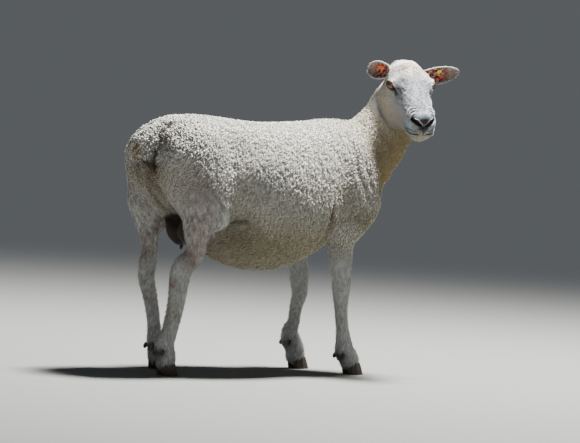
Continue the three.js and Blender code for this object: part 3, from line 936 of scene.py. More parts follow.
def paint_folds(colour, points, laid):
    """The painted shade in the folds, the udder's dark skin with painted shade, and painted shade in the
    crease of the tail.
    """
    for path, width, depth, sides in laid["folds"]:
        for side in sides:
            near, share = line_gap(mirror(points, side), path)
            fade = np.sin(np.pi * np.clip(share, 0.05, 0.95)) ** 0.5
            colour = paint(colour, SHADE_BROWN, 0.075 * depth * fade * ridge(near, 0.9 * width))
    bag = [f"{part}_{hand}" for part in ("udder", "teat") for hand in SIDES]
    udder = np.min([BODY_FORMS[name][0].gap(points) for name in bag], axis=0)
    # The udder: its dark skin, made darker still as painted shade between the thighs.
    colour = paint(colour, UDDER_SKIN_AND_SHADE, step(-udder, -16, -3))
    # Painted shade along the crease of the tail, where its lobe overhangs.
    near, share = line_gap(on_right(points), laid["tail"])
    return paint(colour, DUNG_AND_SHADE_BROWN, 0.97 * ridge(near, 8.5) * step(share, 0.1, 0.3))


def paint_head(colour, points):
    """The cool hair of the face, the dark strokes down its bridge and every mark on the head."""
    h = to_head(points)
    on_head = step(-head_gap(points), -9, -3) * step(h[:, 0], 14, 40)
    colour = paint(colour, FACE_HAIR, on_head)
    bridge = on_head * step(h[:, 0], 60, 110) * step(h[:, 2], -44, -24)
    waves = h + 4 * np.stack([np.sin(h[:, 1] / 7), np.sin(h[:, 0] / 11), 0 * h[:, 0]], 1)
    waves = drift(waves * (1.3, 0.7, 0.7), 17, 3.0) + 0.5 * drift(waves * (1.2, 0.8, 0.8), 9, 4.0)
    colour = paint(colour, BRIDGE_GREY, 0.6 * bridge)
    colour = paint(colour, BRIDGE_DARK, bridge * step(waves, -0.1, 0.6))
    for name, centre, radius, tint, amount in HEAD_MARKS:
        for side in SIDES.values():
            colour = paint(colour, tint, amount * on_head * spot(mirror(h, side), centre, radius))
    return colour


def coat_colours(points, laid):
    """The colour of skin and coat at each point: wool or hair with every stain and marking, and painted shade
    and highlights.
    """
    wool = woolly(points)
    colour = PALE_HAIR * (1 - wool[:, None]) + CREAM_WOOL * wool[:, None]
    colour = paint_wool(colour, points, wool)
    colour = paint_legs(colour, points, wool)
    for name, centre, radius, tint, amount in BODY_MARKS:
        colour = paint(colour, tint, amount * spot(points, centre, radius))
    colour = paint_folds(colour, points, laid)
    return paint_head(colour, points)


# Marks on body and legs, among them painted shade and painted highlights: what it is, its middle, its reach,
# its tint and its strength.
BODY_MARKS = [
    # A painted highlight: the tail's lobe made brighter where light falls on it.
    ("painted highlight on the tail's lobe", (-385, 0, 625), (30, 44, 40), srgb("fcfaf4"), 0.9),
    ("stain on the tail's edge", (-395, 0, 610), (15, 26, 24), TAN_WOOL, 0.85),
    ("stain beside the tail", (-335, -65, 645), (18, 16, 16), TAN_WOOL, 0.8),
    ("dirty tip of the tail", (-380, -10, 570), (20, 26, 12), DUNG_AND_SHADE_BROWN, 0.95),
    ("bare skin below the tail", (-360, -40, 560), (16, 18, 26), BARE_BROWN, 1.2),
    ("bare skin between the thighs", (-335, 0, 520), (30, 24, 50), BARE_BROWN, 0.75),
    ("warm wool between the thighs", (-300, 15, 450), (50, 40, 60), WARM_WOOL, 0.7),
    ("groin", (-200, 0, 380), (70, 60, 40), BARE_BROWN, 0.6),
]
SIDE_MARKS = [
    # Grey-blue painted shade beside the tail, on both sides.
    ("painted shade beside the tail", (-340, -80, 600), (34, 26, 50), srgb("9b9da2"), 0.5),
    # The armpit: bare russet skin, with painted shade in the gap between leg and belly.
    ("painted shade on the armpit's bare skin", (180, -145, 440), (12, 26, 40), RUSSET, 0.9),
    ("pouch behind the elbow", (150, -125, 380), (30, 30, 16), WARM_WOOL, 0.7),
    ("breast", (305, -140, 450), (50, 40, 26), WARM_WOOL, 0.7),
    ("brown of the shoulder", (250, -130, 500), (46, 40, 60), WARM_WOOL, 0.35),
    ("low ribs", (-20, -140, 370), (180, 70, 60), WARM_WOOL, 0.5),
    # Below the flank fold: the belly's tan wool, darkened further as painted shade.
    ("painted shade below the flank fold", (-130, -120, 380), (74, 60, 44), srgb("7c7359"), 0.6),
    # A painted highlight along the thigh's lip of the flank fold.
    ("painted highlight on the lip of the flank fold", (-185, -135, 430), (14, 24, 34), srgb("f6f5f2"), 0.75),
    ("blush on the thigh", (-280, -140, 510), (46, 40, 52), PINK_SKIN, 0.25),
    ("blush above the gaskin", (-260, -130, 405), (24, 40, 60), PINK_SKIN, 0.4),
    ("blush on the gaskin", (-280, -120, 320), (20, 44, 46), RUSSET, 0.5),
    ("stain on the hock", (-325, -105, 250), (13, 26, 12), RUSSET, 0.55),
    ("blush on the forearm", (235, -110, 350), (26, 40, 40), srgb("8d8484"), 0.4),
    # A darker greyish-brown patch over each hind cannon.
    ("darker patch on the hind cannon", (-330, -100, 170), (16, 30, 40), srgb("a39b8c"), 0.5),
]
for name, (x, y, z), *rest in SIDE_MARKS:
    BODY_MARKS += [(f"{name} right", (x, y, z), *rest), (f"{name} left", (x, -y, z), *rest)]
for name, stance in STANCE.items():
    across = stance["side"] * stance["spread"]
    level = 52 + stance["rise"] if name.startswith("fore") else 63
    dewclaws = (stance["fetlock"] - 24, across, level)
    hoofs = (stance["toe"] - 26, across, 22)
    BODY_MARKS.append((f"soot round the dewclaws of {name}", dewclaws, (14, 34, 14), SOOT, 0.9))
    BODY_MARKS.append((f"stain over the hoofs of {name}", hoofs, (34, 30, 8), RUSSET, 0.35))
# Marks on the head, among them painted shade and painted highlights, in the skull's frame for the right side.
HEAD_MARKS = [
    ("warm cheek", (78, -60, -84), (50, 30, 40), srgb("cfc8b6"), 0.6),
    ("warm jaw", (70, -56, -130), (70, 40, 36), srgb("c9bb98"), 0.6),
    # Blue-grey painted shade along each side of the nose.
    ("painted shade on the side of the nose", (150, -42, -48), (60, 22, 26), srgb("b4bcc8"), 0.7),
    # A painted highlight on the bulge over each eye.
    ("painted highlight over the eye", (40, -56, -36), (20, 10, 9), srgb("f3f1ee"), 0.8),
    ("tan forehead", (48, -12, 4), (26, 24, 16), srgb("cbb394"), 0.55),
    ("blue lip", (230, -36, -58), (24, 16, 16), srgb("b7c9de"), 1.0),
    ("slate under the nose", (251, -8, -54), (13, 13, 11), srgb("252a32"), 1.0),
    ("lip rim", (251, -13, -69), (9, 10, 3.8), LIP_PINK, 0.55),
    ("chin", (236, -8, -98), (24, 28, 14), srgb("c9c49f"), 0.8),
    # Painted shade in the crease over the nose.
    ("painted shade in the hollow over the nose", (205, -8, -14), (7, 22, 8), srgb("6f7c8d"), 0.8),
    ("tear stain", (113, -50, -37), (5, 6, 7), SOOT, 0.9),
    ("damp skin by the tear stain", (118, -49, -35), (11, 9, 10), srgb("8f95a0"), 0.5),
]


def paint_side_of_face(colour, h, near, side, lines):
    """The lines on one side of the face: the wrinkles with painted highlights and painted shade, lid, tear
    line, lips and nostril, and a painted highlight over the upper lid.
    """
    m = mirror(h, side)
    mine = near & (side * h[:, 1] > -1)
    for name in WRINKLES:
        away, share = line_gap(m, lines[name])
        fade = mine * np.sin(np.pi * np.clip(share, 0.04, 0.96)) ** 0.5
        # Painted highlights along each wrinkle's ridge and painted shade in the groove beside it.
        colour = paint(colour, WRINKLE_HIGHLIGHT, fade * ridge(away, 2.4))
        colour = paint(colour, WRINKLE_SHADE, 0.75 * fade * ridge(away - 4.6, 1.5))
    margin, lift, across, from_eye = lid_margin(h, side)
    width = 2.6 + 3.8 * step(-lift, -0.1, 0.4) + 1.8 * step(np.abs(across), 0.4, 1.0)
    radius = np.linalg.norm(from_eye, axis=1)
    rim = (1 - step(margin, width, width + 1.6)) * (radius < 26)
    colour = paint(colour, SOOT, mine * rim * 0.96)
    tear, share = line_gap(m, lines["tear"])
    colour = paint(colour, SOOT, mine * 0.94 * (1 - step(tear, 1.6 + 1.8 * share, 3.4 + 2.4 * share)))
    pale = ridge((lift - 0.95) * 15, 4.0) * (np.abs(across) < 1.0) * (radius < 28) * step(margin, 3, 5)
    colour = paint(colour, LID_PALE, mine * 0.9 * pale)
    lip, _ = line_gap(m, lines["lip_edge"])
    colour = paint(colour, LIP_DARK, mine * 0.75 * ridge(lip, 1.9))
    mouth, share = line_gap(m, lines["mouth"])
    colour = paint(colour, MOUTH_DARK, mine * ridge(mouth, 2.6, 4) * step(share, 0.3, 0.5))
    rim, _ = line_gap(m, lines["nostril_rim"])
    colour = paint(colour, NOSTRIL_PINK, mine * 0.8 * ridge(rim, 1.2))
    # A painted highlight on the swelling of the upper lid.
    return paint(colour, LID_HIGHLIGHT, mine * spot(m, lid_swell(), 8.5) * step(margin, 3.5, 5.5))


def face_colours(points, colour, lines):
    """The slate of the nose and the dark lines of the face, painted over the colours of the coat."""
    h = to_head(points)
    near = head_gap(points) > -18
    plate = nose_plate(h)
    colour = paint(colour, SLATE, near * 0.92 * plate)
    colour = paint(colour, PLATE_GREY, near * 0.75 * plate * step(h[:, 2], -32, -26))
    colour = paint(colour, PLATE_PALE, near * 0.8 * plate * step(h[:, 2], -26, -20))
    for side in SIDES.values():
        colour = paint_side_of_face(colour, h, near, side, lines)
    groove, _ = line_gap(h, lines["philtrum"])
    colour = paint(colour, SOOT, near * 0.8 * ridge(groove, 1.7))
    return paint(colour, NOSTRIL_DARK, near * 1.1 * nostril_depth(h, lines))


# ---- Ears ----
def ear_point(shape, s, t, back):
    start = np.array(shape["root"], float)
    along = unit(np.array(shape["along"], float))
    face = np.array(shape["open"], float)
    face = unit(face - along * (face @ along))
    across = np.cross(face, along)
    s, t = np.asarray(s, float), np.asarray(t, float)
    width = EAR_WIDTH * (0.18 + 0.35 * np.sin(np.pi * (0.2 + 0.72 * s)))
    half = width * np.sqrt(np.clip(1 - np.clip(s, 0, 1) ** shape["blunt"], 1e-4, 1))
    curl = (1.25 - 0.6 * s) * 0.5 * np.pi / 1.6
    bend = t * curl
    radius = half / np.sin(np.minimum(1.45, curl))
    depth = radius * (1 - np.cos(bend))
    wall = np.where(back, (EAR_THICKNESS - 0.6) * (1 - 0.35 * np.abs(t)), 0.3)
    away = (radius + wall) * np.sin(bend)
    lift = depth - wall + 6 * s * s
    return start + (s * EAR_LENGTH)[..., None] * along + away[..., None] * across + lift[..., None] * face


def ear_mesh(shape, along=52, half=18):
    """A cupped leaf with a front, a back and a closed rim; rows from the root to the tip."""
    s = np.linspace(-0.06, 0.975, along)
    t = np.linspace(0.97, -0.97, 2 * half + 1)
    front = ear_point(shape, *np.meshgrid(s, t, indexing="ij"), False)
    rear = ear_point(shape, *np.meshgrid(s, t[::-1], indexing="ij"), True)
    rings = np.concatenate([front, rear], axis=1)
    around = rings.shape[1]
    ends = [ear_point(shape, np.array(e), np.array(0.0), False) for e in (-0.08, 1.0)]
    points = np.concatenate([rings.reshape(-1, 3), np.array(ends)])
    i, j = np.meshgrid(np.arange(along - 1), np.arange(around), indexing="ij")
    a, b = i * around + j, i * around + (j + 1) % around
    faces = [np.stack([a, b, b + around], -1), np.stack([a, b + around, a + around], -1)]
    faces = np.concatenate([f.reshape(-1, 3) for f in faces])
    first, last = len(points) - 2, len(points) - 1
    rim = np.arange(around)
    foot = (along - 1) * around
    caps = [np.stack([np.full(around, first), (rim + 1) % around, rim], 1)]
    caps.append(np.stack([np.full(around, last), foot + rim, foot + (rim + 1) % around], 1))
    inner = np.zeros(len(points))
    inner[: along * around] = np.tile(np.arange(around) < 2 * half + 1, along)
    share = np.concatenate([np.repeat(s, around), [s[0], s[-1]]])
    side = np.concatenate([np.tile(np.concatenate([t, t[::-1]]), along), [0, 0]])
    faces = np.concatenate([faces, *caps])
    return from_head(points), faces, inner, share, side


def outward(points, faces):
    a, b, c = (points[faces[:, k]] for k in range(3))
    volume = (a * np.cross(b, c)).sum()
    return faces if volume > 0 else faces[:, ::-1]


# ---- Putting the skin together ----
REGIONS = ["trunk_fore_right", "trunk_hind_right", "trunk_fore_left", "trunk_hind_left", "neck", *STANCE]
REGIONS += ["tail", "head_right", "head_left", "ears", "udder"]


def is_in(region, *names):
    """Which points belong to any of the named coat pieces."""
    return np.isin(region, [REGIONS.index(name) for name in names])


def region_of(points):
    """Which coat piece each point belongs to, by the nearest form."""
    gaps = np.full((len(BODY_FORMS), len(points)), 99.0)
    for row, (shape, _) in zip(gaps, BODY_FORMS.values()):
        near = ((points > shape.low) & (points < shape.high)).all(1)
        row[near] = shape.gap(points[near])
    nearest = np.argmin(gaps, axis=0)
    region = np.zeros(len(points), int)
    fore, right = points[:, 0] > 60, points[:, 1] < 0
    trunk = np.where(right, np.where(fore, 0, 1), np.where(fore, 2, 3))
    for k, name in enumerate(BODY_FORMS):
        mine = nearest == k
        label = "udder" if name.startswith(("udder", "teat")) else name
        region[mine] = trunk[mine] if name == "trunk" else REGIONS.index(label)
    head = head_gap(points) < gaps.min(0)
    left = to_head(points)[:, 1] > 0
    region[head] = np.where(left, REGIONS.index("head_left"), REGIONS.index("head_right"))[head]
    return region


def unwrap(points, region):
    """A place on an unrolling of each form: two parts that turn round it, and one along it."""
    wrap = np.zeros((len(points), 3))
    for k, name in enumerate(REGIONS):
        mine = region == k
        if not mine.any():
            continue
        some = points[mine]
        if name.startswith("head"):
            u, v, _, place, _ = SKULL_FORM.local(to_head(some))
        elif name in ("ears", "udder"):
            continue
        else:
            shape = BODY_FORMS["trunk" if name.startswith("trunk") else name][0]
            u, v, _, place, _ = shape.local(some)
        wrap[mine] = np.stack([u, v, place * 1000], 1)
    return wrap


def lie_of_coat(points, region):
    """The way that the hair points at each place."""
    way = np.tile([-1.0, 0, -0.75], (len(points), 1))
    way[is_in(region, "neck")] = (-0.75, 0.1, -0.75)
    on_leg = is_in(region, *STANCE)[:, None]
    thigh = step(points[:, 2], 380, 560)[:, None]
    way = np.where(on_leg, np.array([-0.25, 0, -1]) * (1 - thigh) + np.array([-0.9, 0, -0.8]) * thigh, way)
    way[is_in(region, "tail")] = (-0.3, 0, -1)
    head = is_in(region, "head_right", "head_left")
    h = to_head(points)
    flow = np.tile([-1.0, 0.0, -0.25], (len(points), 1))
    flow[:, 1] = 0.35 * np.sign(h[:, 1]) * step(np.abs(h[:, 1]), 2, 30)
    brow = step(h[:, 0], 130, 60) * step(h[:, 2], -40, -8)
    flow[:, 1] += brow * 0.5 * np.sin(h[:, 0] / 9.0)
    flow[:, 0] += 0.5 * np.sin(h[:, 1] / 7.0 + h[:, 0] / 13) * step(h[:, 2], -40, -12)
    way[head] = (flow @ HEAD[:3, :3].T)[head]
    return unit(way)


def grain_of_coat(points, region):
    """Places for the clumps of the coat, one clump to a unit, drawn out along the lie of wool and hair."""
    wool = woolly(points)[:, None]
    fine = 0.12 + 0.05 * wool
    grain = points * (1, 1, 0.62) * fine
    on_leg = is_in(region, *STANCE)[:, None]
    grain = np.where(on_leg, points * np.concatenate([fine * 1.6, fine * 1.6, 0.09 + 0.03 * wool], 1), grain)
    head = is_in(region, "head_right", "head_left")
    h = to_head(points)
    h[:, 1] += 3.0 * np.sin(h[:, 0] / 8)
    h[:, 2] += 0.35 * h[:, 0]
    grain[head] = (h * (0.085, 0.2, 0.14))[head]
    return grain


def near_eyes(h, reach):
    """Which points of the head lie within reach of the middle of an eye."""
    return np.any([np.linalg.norm(h - eye_centre(side), axis=1) < reach for side in SIDES.values()], axis=0)


def fine_mesh():
    """The mesh of the skin, with faces that grow finer on the head, the face, and round eyes and nose."""
    points, faces = first_mesh()
    faces = outward(points, faces)
    h = to_head(points)
    on_head = (head_gap(points) < 12) & (h[:, 0] > -30)
    points, faces = refine(points, faces, on_head[faces].any(1))
    h = to_head(points)
    on_head = (head_gap(points) < 12) & (h[:, 0] > -34)
    points = settle(points, skin_gap, np.flatnonzero(on_head))
    points = smooth(points, faces, on_head * 0.6, 2)
    h = to_head(points)
    face = on_head & (h[:, 0] > 18) & (h[:, 2] > -70)
    muzzle = on_head & (h[:, 0] > 182)
    points, faces = refine(points, faces, (face | muzzle)[faces].any(1))
    h = to_head(points)
    on_head = (head_gap(points) < 12) & (h[:, 0] > 14)
    points = settle(points, skin_gap, np.flatnonzero(on_head), 1)
    h = to_head(points)
    nose = (h[:, 0] > 222) & (h[:, 2] < -22) & (h[:, 2] > -90) & (head_gap(points) < 8)
    points, faces = refine(points, faces, (near_eyes(h, 25) | nose)[faces].any(1))
    h = to_head(points)
    nose = (h[:, 0] > 216) & (head_gap(points) < 8)
    points = settle(points, skin_gap, np.flatnonzero(near_eyes(h, 22) | nose), 1)
    return points, faces


def build_skin():
    """The skin with its relief, the same skin before it, and the lines and folds laid on it."""
    flat, faces = fine_mesh()
    normals = vertex_normals(flat, faces)
    h = to_head(flat)
    laid = lay_lines(flat)
    on_face = (head_gap(flat) < 10) & (h[:, 0] > 10)
    relief = np.where(on_face, face_relief(h, laid["face"]), 0)
    hollow = np.where(on_face & (h[:, 0] > 215), nostril_depth(h, laid["face"]), 0)
    folds = np.where(on_face, 0, skin_folds(flat, laid["folds"]))
    points = flat + normals * (relief + folds)[:, None]
    inward = from_head([[0, 0, 0]]) - from_head([[0.8, 0.0, 0.25]])
    points = points + unit(inward) * (hollow * 9)[:, None]
    return shape_lids(points), faces, flat, laid


def add_attribute(mesh, name, kind, values):
    layer = mesh.attributes.new(name, kind, "POINT")
    key = {"FLOAT": "value", "INT": "value", "FLOAT_VECTOR": "vector", "FLOAT_COLOR": "color"}[kind]
    number = np.int32 if kind == "INT" else np.float32
    layer.data.foreach_set(key, np.ascontiguousarray(values, dtype=number).ravel())


def mesh_object(name, points, faces):
    """A mesh in metres, with faces all of one size."""
    mesh = bpy.data.meshes.new(name)
    points, faces = np.asarray(points, np.float32), np.asarray(faces, np.int32)
    mesh.vertices.add(len(points))
    mesh.vertices.foreach_set("co", points.ravel())
    mesh.loops.add(faces.size)
    mesh.loops.foreach_set("vertex_index", faces.ravel())
    mesh.polygons.add(len(faces))
    mesh.polygons.foreach_set("loop_start", np.arange(0, faces.size, faces.shape[1], dtype=np.int32))
    mesh.update(calc_edges=True)
    mesh.polygons.foreach_set("use_smooth", np.full(len(faces), True))
    made = bpy.data.objects.new(name, mesh)
    bpy.context.scene.collection.objects.link(made)
    return made


def contrast_of_coat(flat, region, wool):
    """How strongly the clumps show: most on top of the face, least on cheeks, neck and udder."""
    h = to_head(flat)
    by_head = head_gap(flat) < 14
    on_top = step(h[:, 2], -58, -34) * step(h[:, 0], 16, 40) * by_head
    contrast = np.maximum(0.75 + 0.25 * wool, 1.4 * on_top) - 0.25 * by_head * (1 - on_top) * (1 - wool)
    return contrast * np.where(is_in(region, "neck"), 0.6, 1) * np.where(is_in(region, "udder"), 0.2, 1)


def bare_share(points, flat, laid):
    """1 where no hair grows: lids, nose, lips, the tail's crease and the depths of the deepest folds."""
    h = to_head(points)
    bare = np.zeros(len(points))
    on_head = head_gap(points) < 8
    for side in SIDES.values():
        margin, _, _, from_eye = lid_margin(h, side)
        bare = np.maximum(bare, (np.linalg.norm(from_eye, axis=1) < 26) * (1 - step(margin, 3.0, 5.0)))
    bare = np.maximum(bare, on_head * step(nose_plate(h), 0.2, 0.7))
    bare = np.maximum(bare, on_head * step(spot(h, (252, 0, -57), (16, 22, 22)), 0.3, 0.6))
    crease, _ = line_gap(on_right(flat), laid["tail"])
    bare = np.maximum(bare, 0.95 * ridge(crease, 7.5))
    bare = np.maximum(bare, 0.8 * spot(flat, *BARE_PATCH))
    for path, width, depth, sides in laid["folds"]:
        if depth <= DEEP_FOLD:
            continue
        for side in sides:
            near, share = line_gap(mirror(flat, side), path)
            bare = np.maximum(bare, 0.9 * ridge(near, 0.8 * width) * np.sin(np.pi * share) ** 0.5)
    slit = np.minimum(*(line_gap(mirror(h, side), laid["face"]["mouth"])[0] for side in SIDES.values()))
    return np.maximum(bare, on_head * (1 - step(slit, 2.5, 4.5)) * step(h[:, 0], 218, 232))


def size_of_locks(points, region, wool):
    """How large the locks are: larger on rump, tail, coronets and brow, smaller on the muzzle."""
    x, _, z = points.T
    rump = step(-x, 210, 330) * step(z, 560, 650)
    coronet = step(-z, -34, -16)
    h = to_head(points)
    below_ears = region < REGIONS.index("ears")
    muzzle = (head_gap(points) < 14) * step(h[:, 0], 196, 222) * below_ears
    curls = below_ears * (region > REGIONS.index("tail"))
    curls = curls * step(h[:, 0], 110, 60) * step(h[:, 2], -34, -14) * step(-np.abs(h[:, 1]), -40, -24)
    grown = 1 + 0.35 * np.maximum(rump, is_in(region, "tail")) + 0.6 * coronet
    return (0.55 + 0.45 * wool) * grown * (1 - 0.35 * muzzle) + 0.35 * curls


def body_patch():
    """The skin of body and head, with all that the coat reads from it."""
    points, faces, flat, laid = build_skin()
    region, wool = region_of(points), woolly(points)
    tint = face_colours(flat, coat_colours(flat, laid), laid["face"])
    return dict(
        points=points,
        faces=faces,
        region=region,
        wool=wool,
        cover=1 - bare_share(points, flat, laid),
        contrast=contrast_of_coat(flat, region, wool),
        lie=lie_of_coat(points, region),
        wrap=unwrap(points, region),
        grain=grain_of_coat(points, region),
        tint=tint,
        hair=tint,
    )


def ear_patch(shape):
    """One ear, with red flesh showing through the hair of its hollow."""
    points, faces, inner, share, side = ear_mesh(shape)
    count = len(points)
    rim = step(np.abs(side), 0.66, 0.92)
    flesh = inner * (1 - rim) * (1 - 0.6 * step(share, 0.85, 1.0))
    rays = np.sin(13 * side + 3 * np.sin(5 * share) + 2) * np.sin(4 * side - 7 * share)
    blotches = drift(np.stack([side * 26, share * 90, inner * 9], 1), 17, 2.0)
    deep = paint(np.tile(EAR_FLESH, (count, 1)), EAR_DEEP, 0.4 + 1.4 * rays + 0.6 * (0.4 - share))
    deep = paint(deep, EAR_PALE, 0.6 * step(blotches, 0.1, 0.8))
    deep = paint(deep, EAR_GREY, 0.8 * step(share, 0.5, 0.8))
    plain = np.tile(FACE_HAIR, (count, 1))
    out = unit(np.array(shape["along"])) @ HEAD[:3, :3].T
    return dict(
        points=points,
        faces=outward(points - points.mean(0), faces),
        region=np.full(count, REGIONS.index("ears")),
        wool=np.zeros(count),
        cover=1 - 0.8 * flesh,
        contrast=np.full(count, 0.6),
        lie=np.tile(out, (count, 1)),
        wrap=np.stack([side * 100, (1 - 2 * inner) * 60, share * 1000], 1),
        grain=np.stack([side * 7, inner * 9, share * 5], 1),
        tint=plain * (1 - flesh[:, None]) + deep * flesh[:, None],
        hair=paint(plain, EAR_HAIR, 0.75 * flesh * step(rays, 0.5, -0.5)),
    )


SKIN_ATTRIBUTES = {
    "region": "INT",
    "wool": "FLOAT",
    "cover": "FLOAT",
    "contrast": "FLOAT",
    "lie": "FLOAT_VECTOR",
    "wrap": "FLOAT_VECTOR",
    "grain": "FLOAT_VECTOR",
    "tint": "FLOAT_COLOR",
    "hair": "FLOAT_COLOR",
    "size": "FLOAT",
}


def make_skin():
    """The one skin over body, head and ears, with its attributes for the coat and the colours."""
    patches = [body_patch()] + [ear_patch(shape) for shape in EARS.values()]
    offsets = np.cumsum([0] + [len(patch["points"]) for patch in patches])
    faces = np.concatenate([patch["faces"] + offset for patch, offset in zip(patches, offsets)])
    whole = {key: np.concatenate([patch[key] for patch in patches]) for key in patches[0] if key != "faces"}
    whole["size"] = size_of_locks(whole["points"], whole["region"], whole["wool"])
    skin = mesh_object("skin", to_metres(whole["points"]), faces)
    for name, kind in SKIN_ATTRIBUTES.items():
        values = whole[name]
        if kind == "FLOAT_COLOR":
            values = np.concatenate([values, np.ones((len(values), 1))], 1)
        add_attribute(skin.data, name, kind, values)
    return skin


# ---- Materials ----
def set_inputs(tree, made, inputs):
    """Sets each named or numbered input of a node to a value, or links another node's output to it."""
    for name, value in inputs.items():
        if isinstance(value, bpy.types.NodeSocket):
            tree.links.new(value, made.inputs[name])
        else:
            made.inputs[name].default_value = value


def node(tree, kind, inputs=None, **settings):
    made = tree.nodes.new(kind)
    for key, value in settings.items():
        setattr(made, key, value)
    set_inputs(tree, made, inputs or {})
    return made


def maths(tree, operation, *values):
    return node(tree, "ShaderNodeMath", dict(enumerate(values)), operation=operation).outputs[0]


def scaled(tree, colour, factor):
    """A colour or a way, times a factor."""
    inputs = {0: colour, "Scale": factor}
    return node(tree, "ShaderNodeVectorMath", inputs, operation="SCALE").outputs[0]


def attribute(tree, name, output="Fac"):
    return node(tree, "ShaderNodeAttribute", attribute_name=name).outputs[output]


def add_sockets(tree, way, sockets):
    for name, kind, value in sockets:
        socket = tree.interface.new_socket(name, in_out=way, socket_type=f"NodeSocket{kind}")
        if value is not None:
            socket.default_value = value


def new_material(name):
    material = bpy.data.materials.new(name)
    material.use_nodes = True
    return material, material.node_tree, material.node_tree.nodes["Principled BSDF"]


def mottle_group():
    """Varies a colour over the surface by small blotches and by broad drifts."""
    group = bpy.data.node_groups.new("Mottle", "ShaderNodeTree")
    amounts = [("Scale", "Float", 90.0), ("Amount", "Float", 0.2), ("Drift", "Float", 0.1)]
    add_sockets(group, "INPUT", [("Colour", "Color", None), *amounts])
    add_sockets(group, "OUTPUT", [("Colour", "Color", None), ("Height", "Float", None)])
    given = group.nodes.new("NodeGroupInput").outputs
    place = group.nodes.new("ShaderNodeTexCoord").outputs["Object"]
    fine = node(group, "ShaderNodeTexNoise", {"Vector": place, "Scale": given["Scale"], "Detail": 3})
    broad = node(group, "ShaderNodeTexNoise", {"Vector": place, "Scale": 9, "Detail": 2})
    small = maths(group, "MULTIPLY", maths(group, "SUBTRACT", fine.outputs["Fac"], 0.5), given["Amount"])
    large = maths(group, "MULTIPLY", maths(group, "SUBTRACT", broad.outputs["Fac"], 0.5), given["Drift"])
    factor = maths(group, "ADD", maths(group, "ADD", small, large), 1.0)
    varied = scaled(group, given["Colour"], factor)
    node(group, "NodeGroupOutput", {"Colour": varied, "Height": fine.outputs["Fac"]})
    return group


MOTTLE = mottle_group()


def place_mottle(tree, colour, **values):
    return node(tree, "ShaderNodeGroup", dict(values, Colour=colour), node_tree=MOTTLE)


def skin_material():
    """Skin seen between the locks: tinted as the coat, darker where the clumps part as painted shade, and
    finely grained.
    """
    material, tree, shader = new_material("shorn_skin")
    noise = {"Scale": 1.0, "Detail": 2.0, "Distortion": 0.5, "Vector": attribute(tree, "grain", "Vector")}
    clumps = node(tree, "ShaderNodeTexNoise", noise)
    # The partings between clumps are darkened: painted shade.
    span = {"From Min": 0.36, "From Max": 0.62, "To Min": 0.4, "To Max": 0.95, "Value": clumps.outputs["Fac"]}
    part = node(tree, "ShaderNodeMapRange", span, interpolation_type="SMOOTHSTEP")
    between = {"Factor": attribute(tree, "contrast"), 2: 1.0, 3: part.outputs[0]}
    shade = node(tree, "ShaderNodeMix", between, data_type="FLOAT")
    tint = scaled(tree, attribute(tree, "tint", "Color"), shade.outputs[0])
    mottle = place_mottle(tree, tint, Scale=260.0, Amount=0.4, Drift=0.25)
    grain = {"Strength": 0.35, "Distance": 0.0008, "Height": mottle.outputs["Height"]}
    bump = node(tree, "ShaderNodeBump", grain)
    finish = {
        "Base Color": mottle.outputs["Colour"],
        "Normal": bump.outputs["Normal"],
        "Roughness": 0.72,
        "Specular IOR Level": 0.3,
    }
    set_inputs(tree, shader, finish)
    return material


def coat_material(name, root_shade, amount, sheen):
    """Hair coloured as the skin below it, darker at its root and in the partings as painted shade, and varied
    from lock to lock.
    """
    material, tree, shader = new_material(name)
    mottle = place_mottle(tree, attribute(tree, "hair", "Color"), Scale=70.0, Amount=0.3, Drift=0.3)
    tip, tone, contrast = (attribute(tree, part) for part in ("tip", "tone", "contrast"))
    # Painted shade: darker at the root of each lock and on the locks in the partings.
    by_tip = node(tree, "ShaderNodeMapRange", {"To Min": root_shade, "To Max": 1.06, "Value": tip})
    by_contrast = {"From Max": 2.0, "To Min": 1.0, "To Max": 1 - 2 * amount, "Value": contrast}
    least = node(tree, "ShaderNodeMapRange", by_contrast)
    span = {"To Min": least.outputs[0], "To Max": 1 + amount / 5, "Value": tone}
    by_tone = node(tree, "ShaderNodeMapRange", span)
    both = maths(tree, "MULTIPLY", by_tip.outputs[0], by_tone.outputs[0])
    finish = {
        "Base Color": scaled(tree, mottle.outputs["Colour"], both),
        "Roughness": 0.85,
        "Specular IOR Level": 0.25,
        "Sheen Weight": sheen,
        "Sheen Roughness": 0.5,
    }
    set_inputs(tree, shader, finish)
    return material


def colour_ramp(tree, factor, stops):
    """A ramp through the given places and colours, at a factor."""
    made = node(tree, "ShaderNodeValToRGB", {"Fac": factor})
    elements = made.color_ramp.elements
    for k, (place, colour) in enumerate(stops):
        if k < 2:
            elements[k].position = place
        stop = elements[k] if k < 2 else elements.new(place)
        stop.color = (*colour, 1)
    return made.outputs["Color"]


# ---- Coat: small solid locks set over the skin ----
def lock_shape():
    """One lock, a unit long: a spindle of six faces, ridged above, with a patch of map for each face."""
    points = [(0, 0, -0.12), (0.45, 0.5, 0), (0.45, 0, 0.42), (0.45, -0.5, 0), (1, 0, 0.1)]
    faces = [(0, 2, 1), (1, 2, 4), (0, 3, 2), (2, 3, 4), (0, 1, 3), (3, 1, 4)]
    made = mesh_object("lock_shape", points, faces)
    add_attribute(made.data, "tip", "FLOAT", [0, 0.55, 0.7, 0.55, 1])
    patch = made.data.uv_layers.new(name="patch")
    corners = []
    for strip in range(3):
        low, middle, high = strip / 3, (strip + 0.5) / 3, (strip + 1) / 3
        corners += [(0, middle), (0.5, high), (0.5, low)]
        corners += [(0.5, low), (0.5, high), (1, middle)]
    patch.data.foreach_set("uv", np.array(corners, np.float32).ravel())
    return made


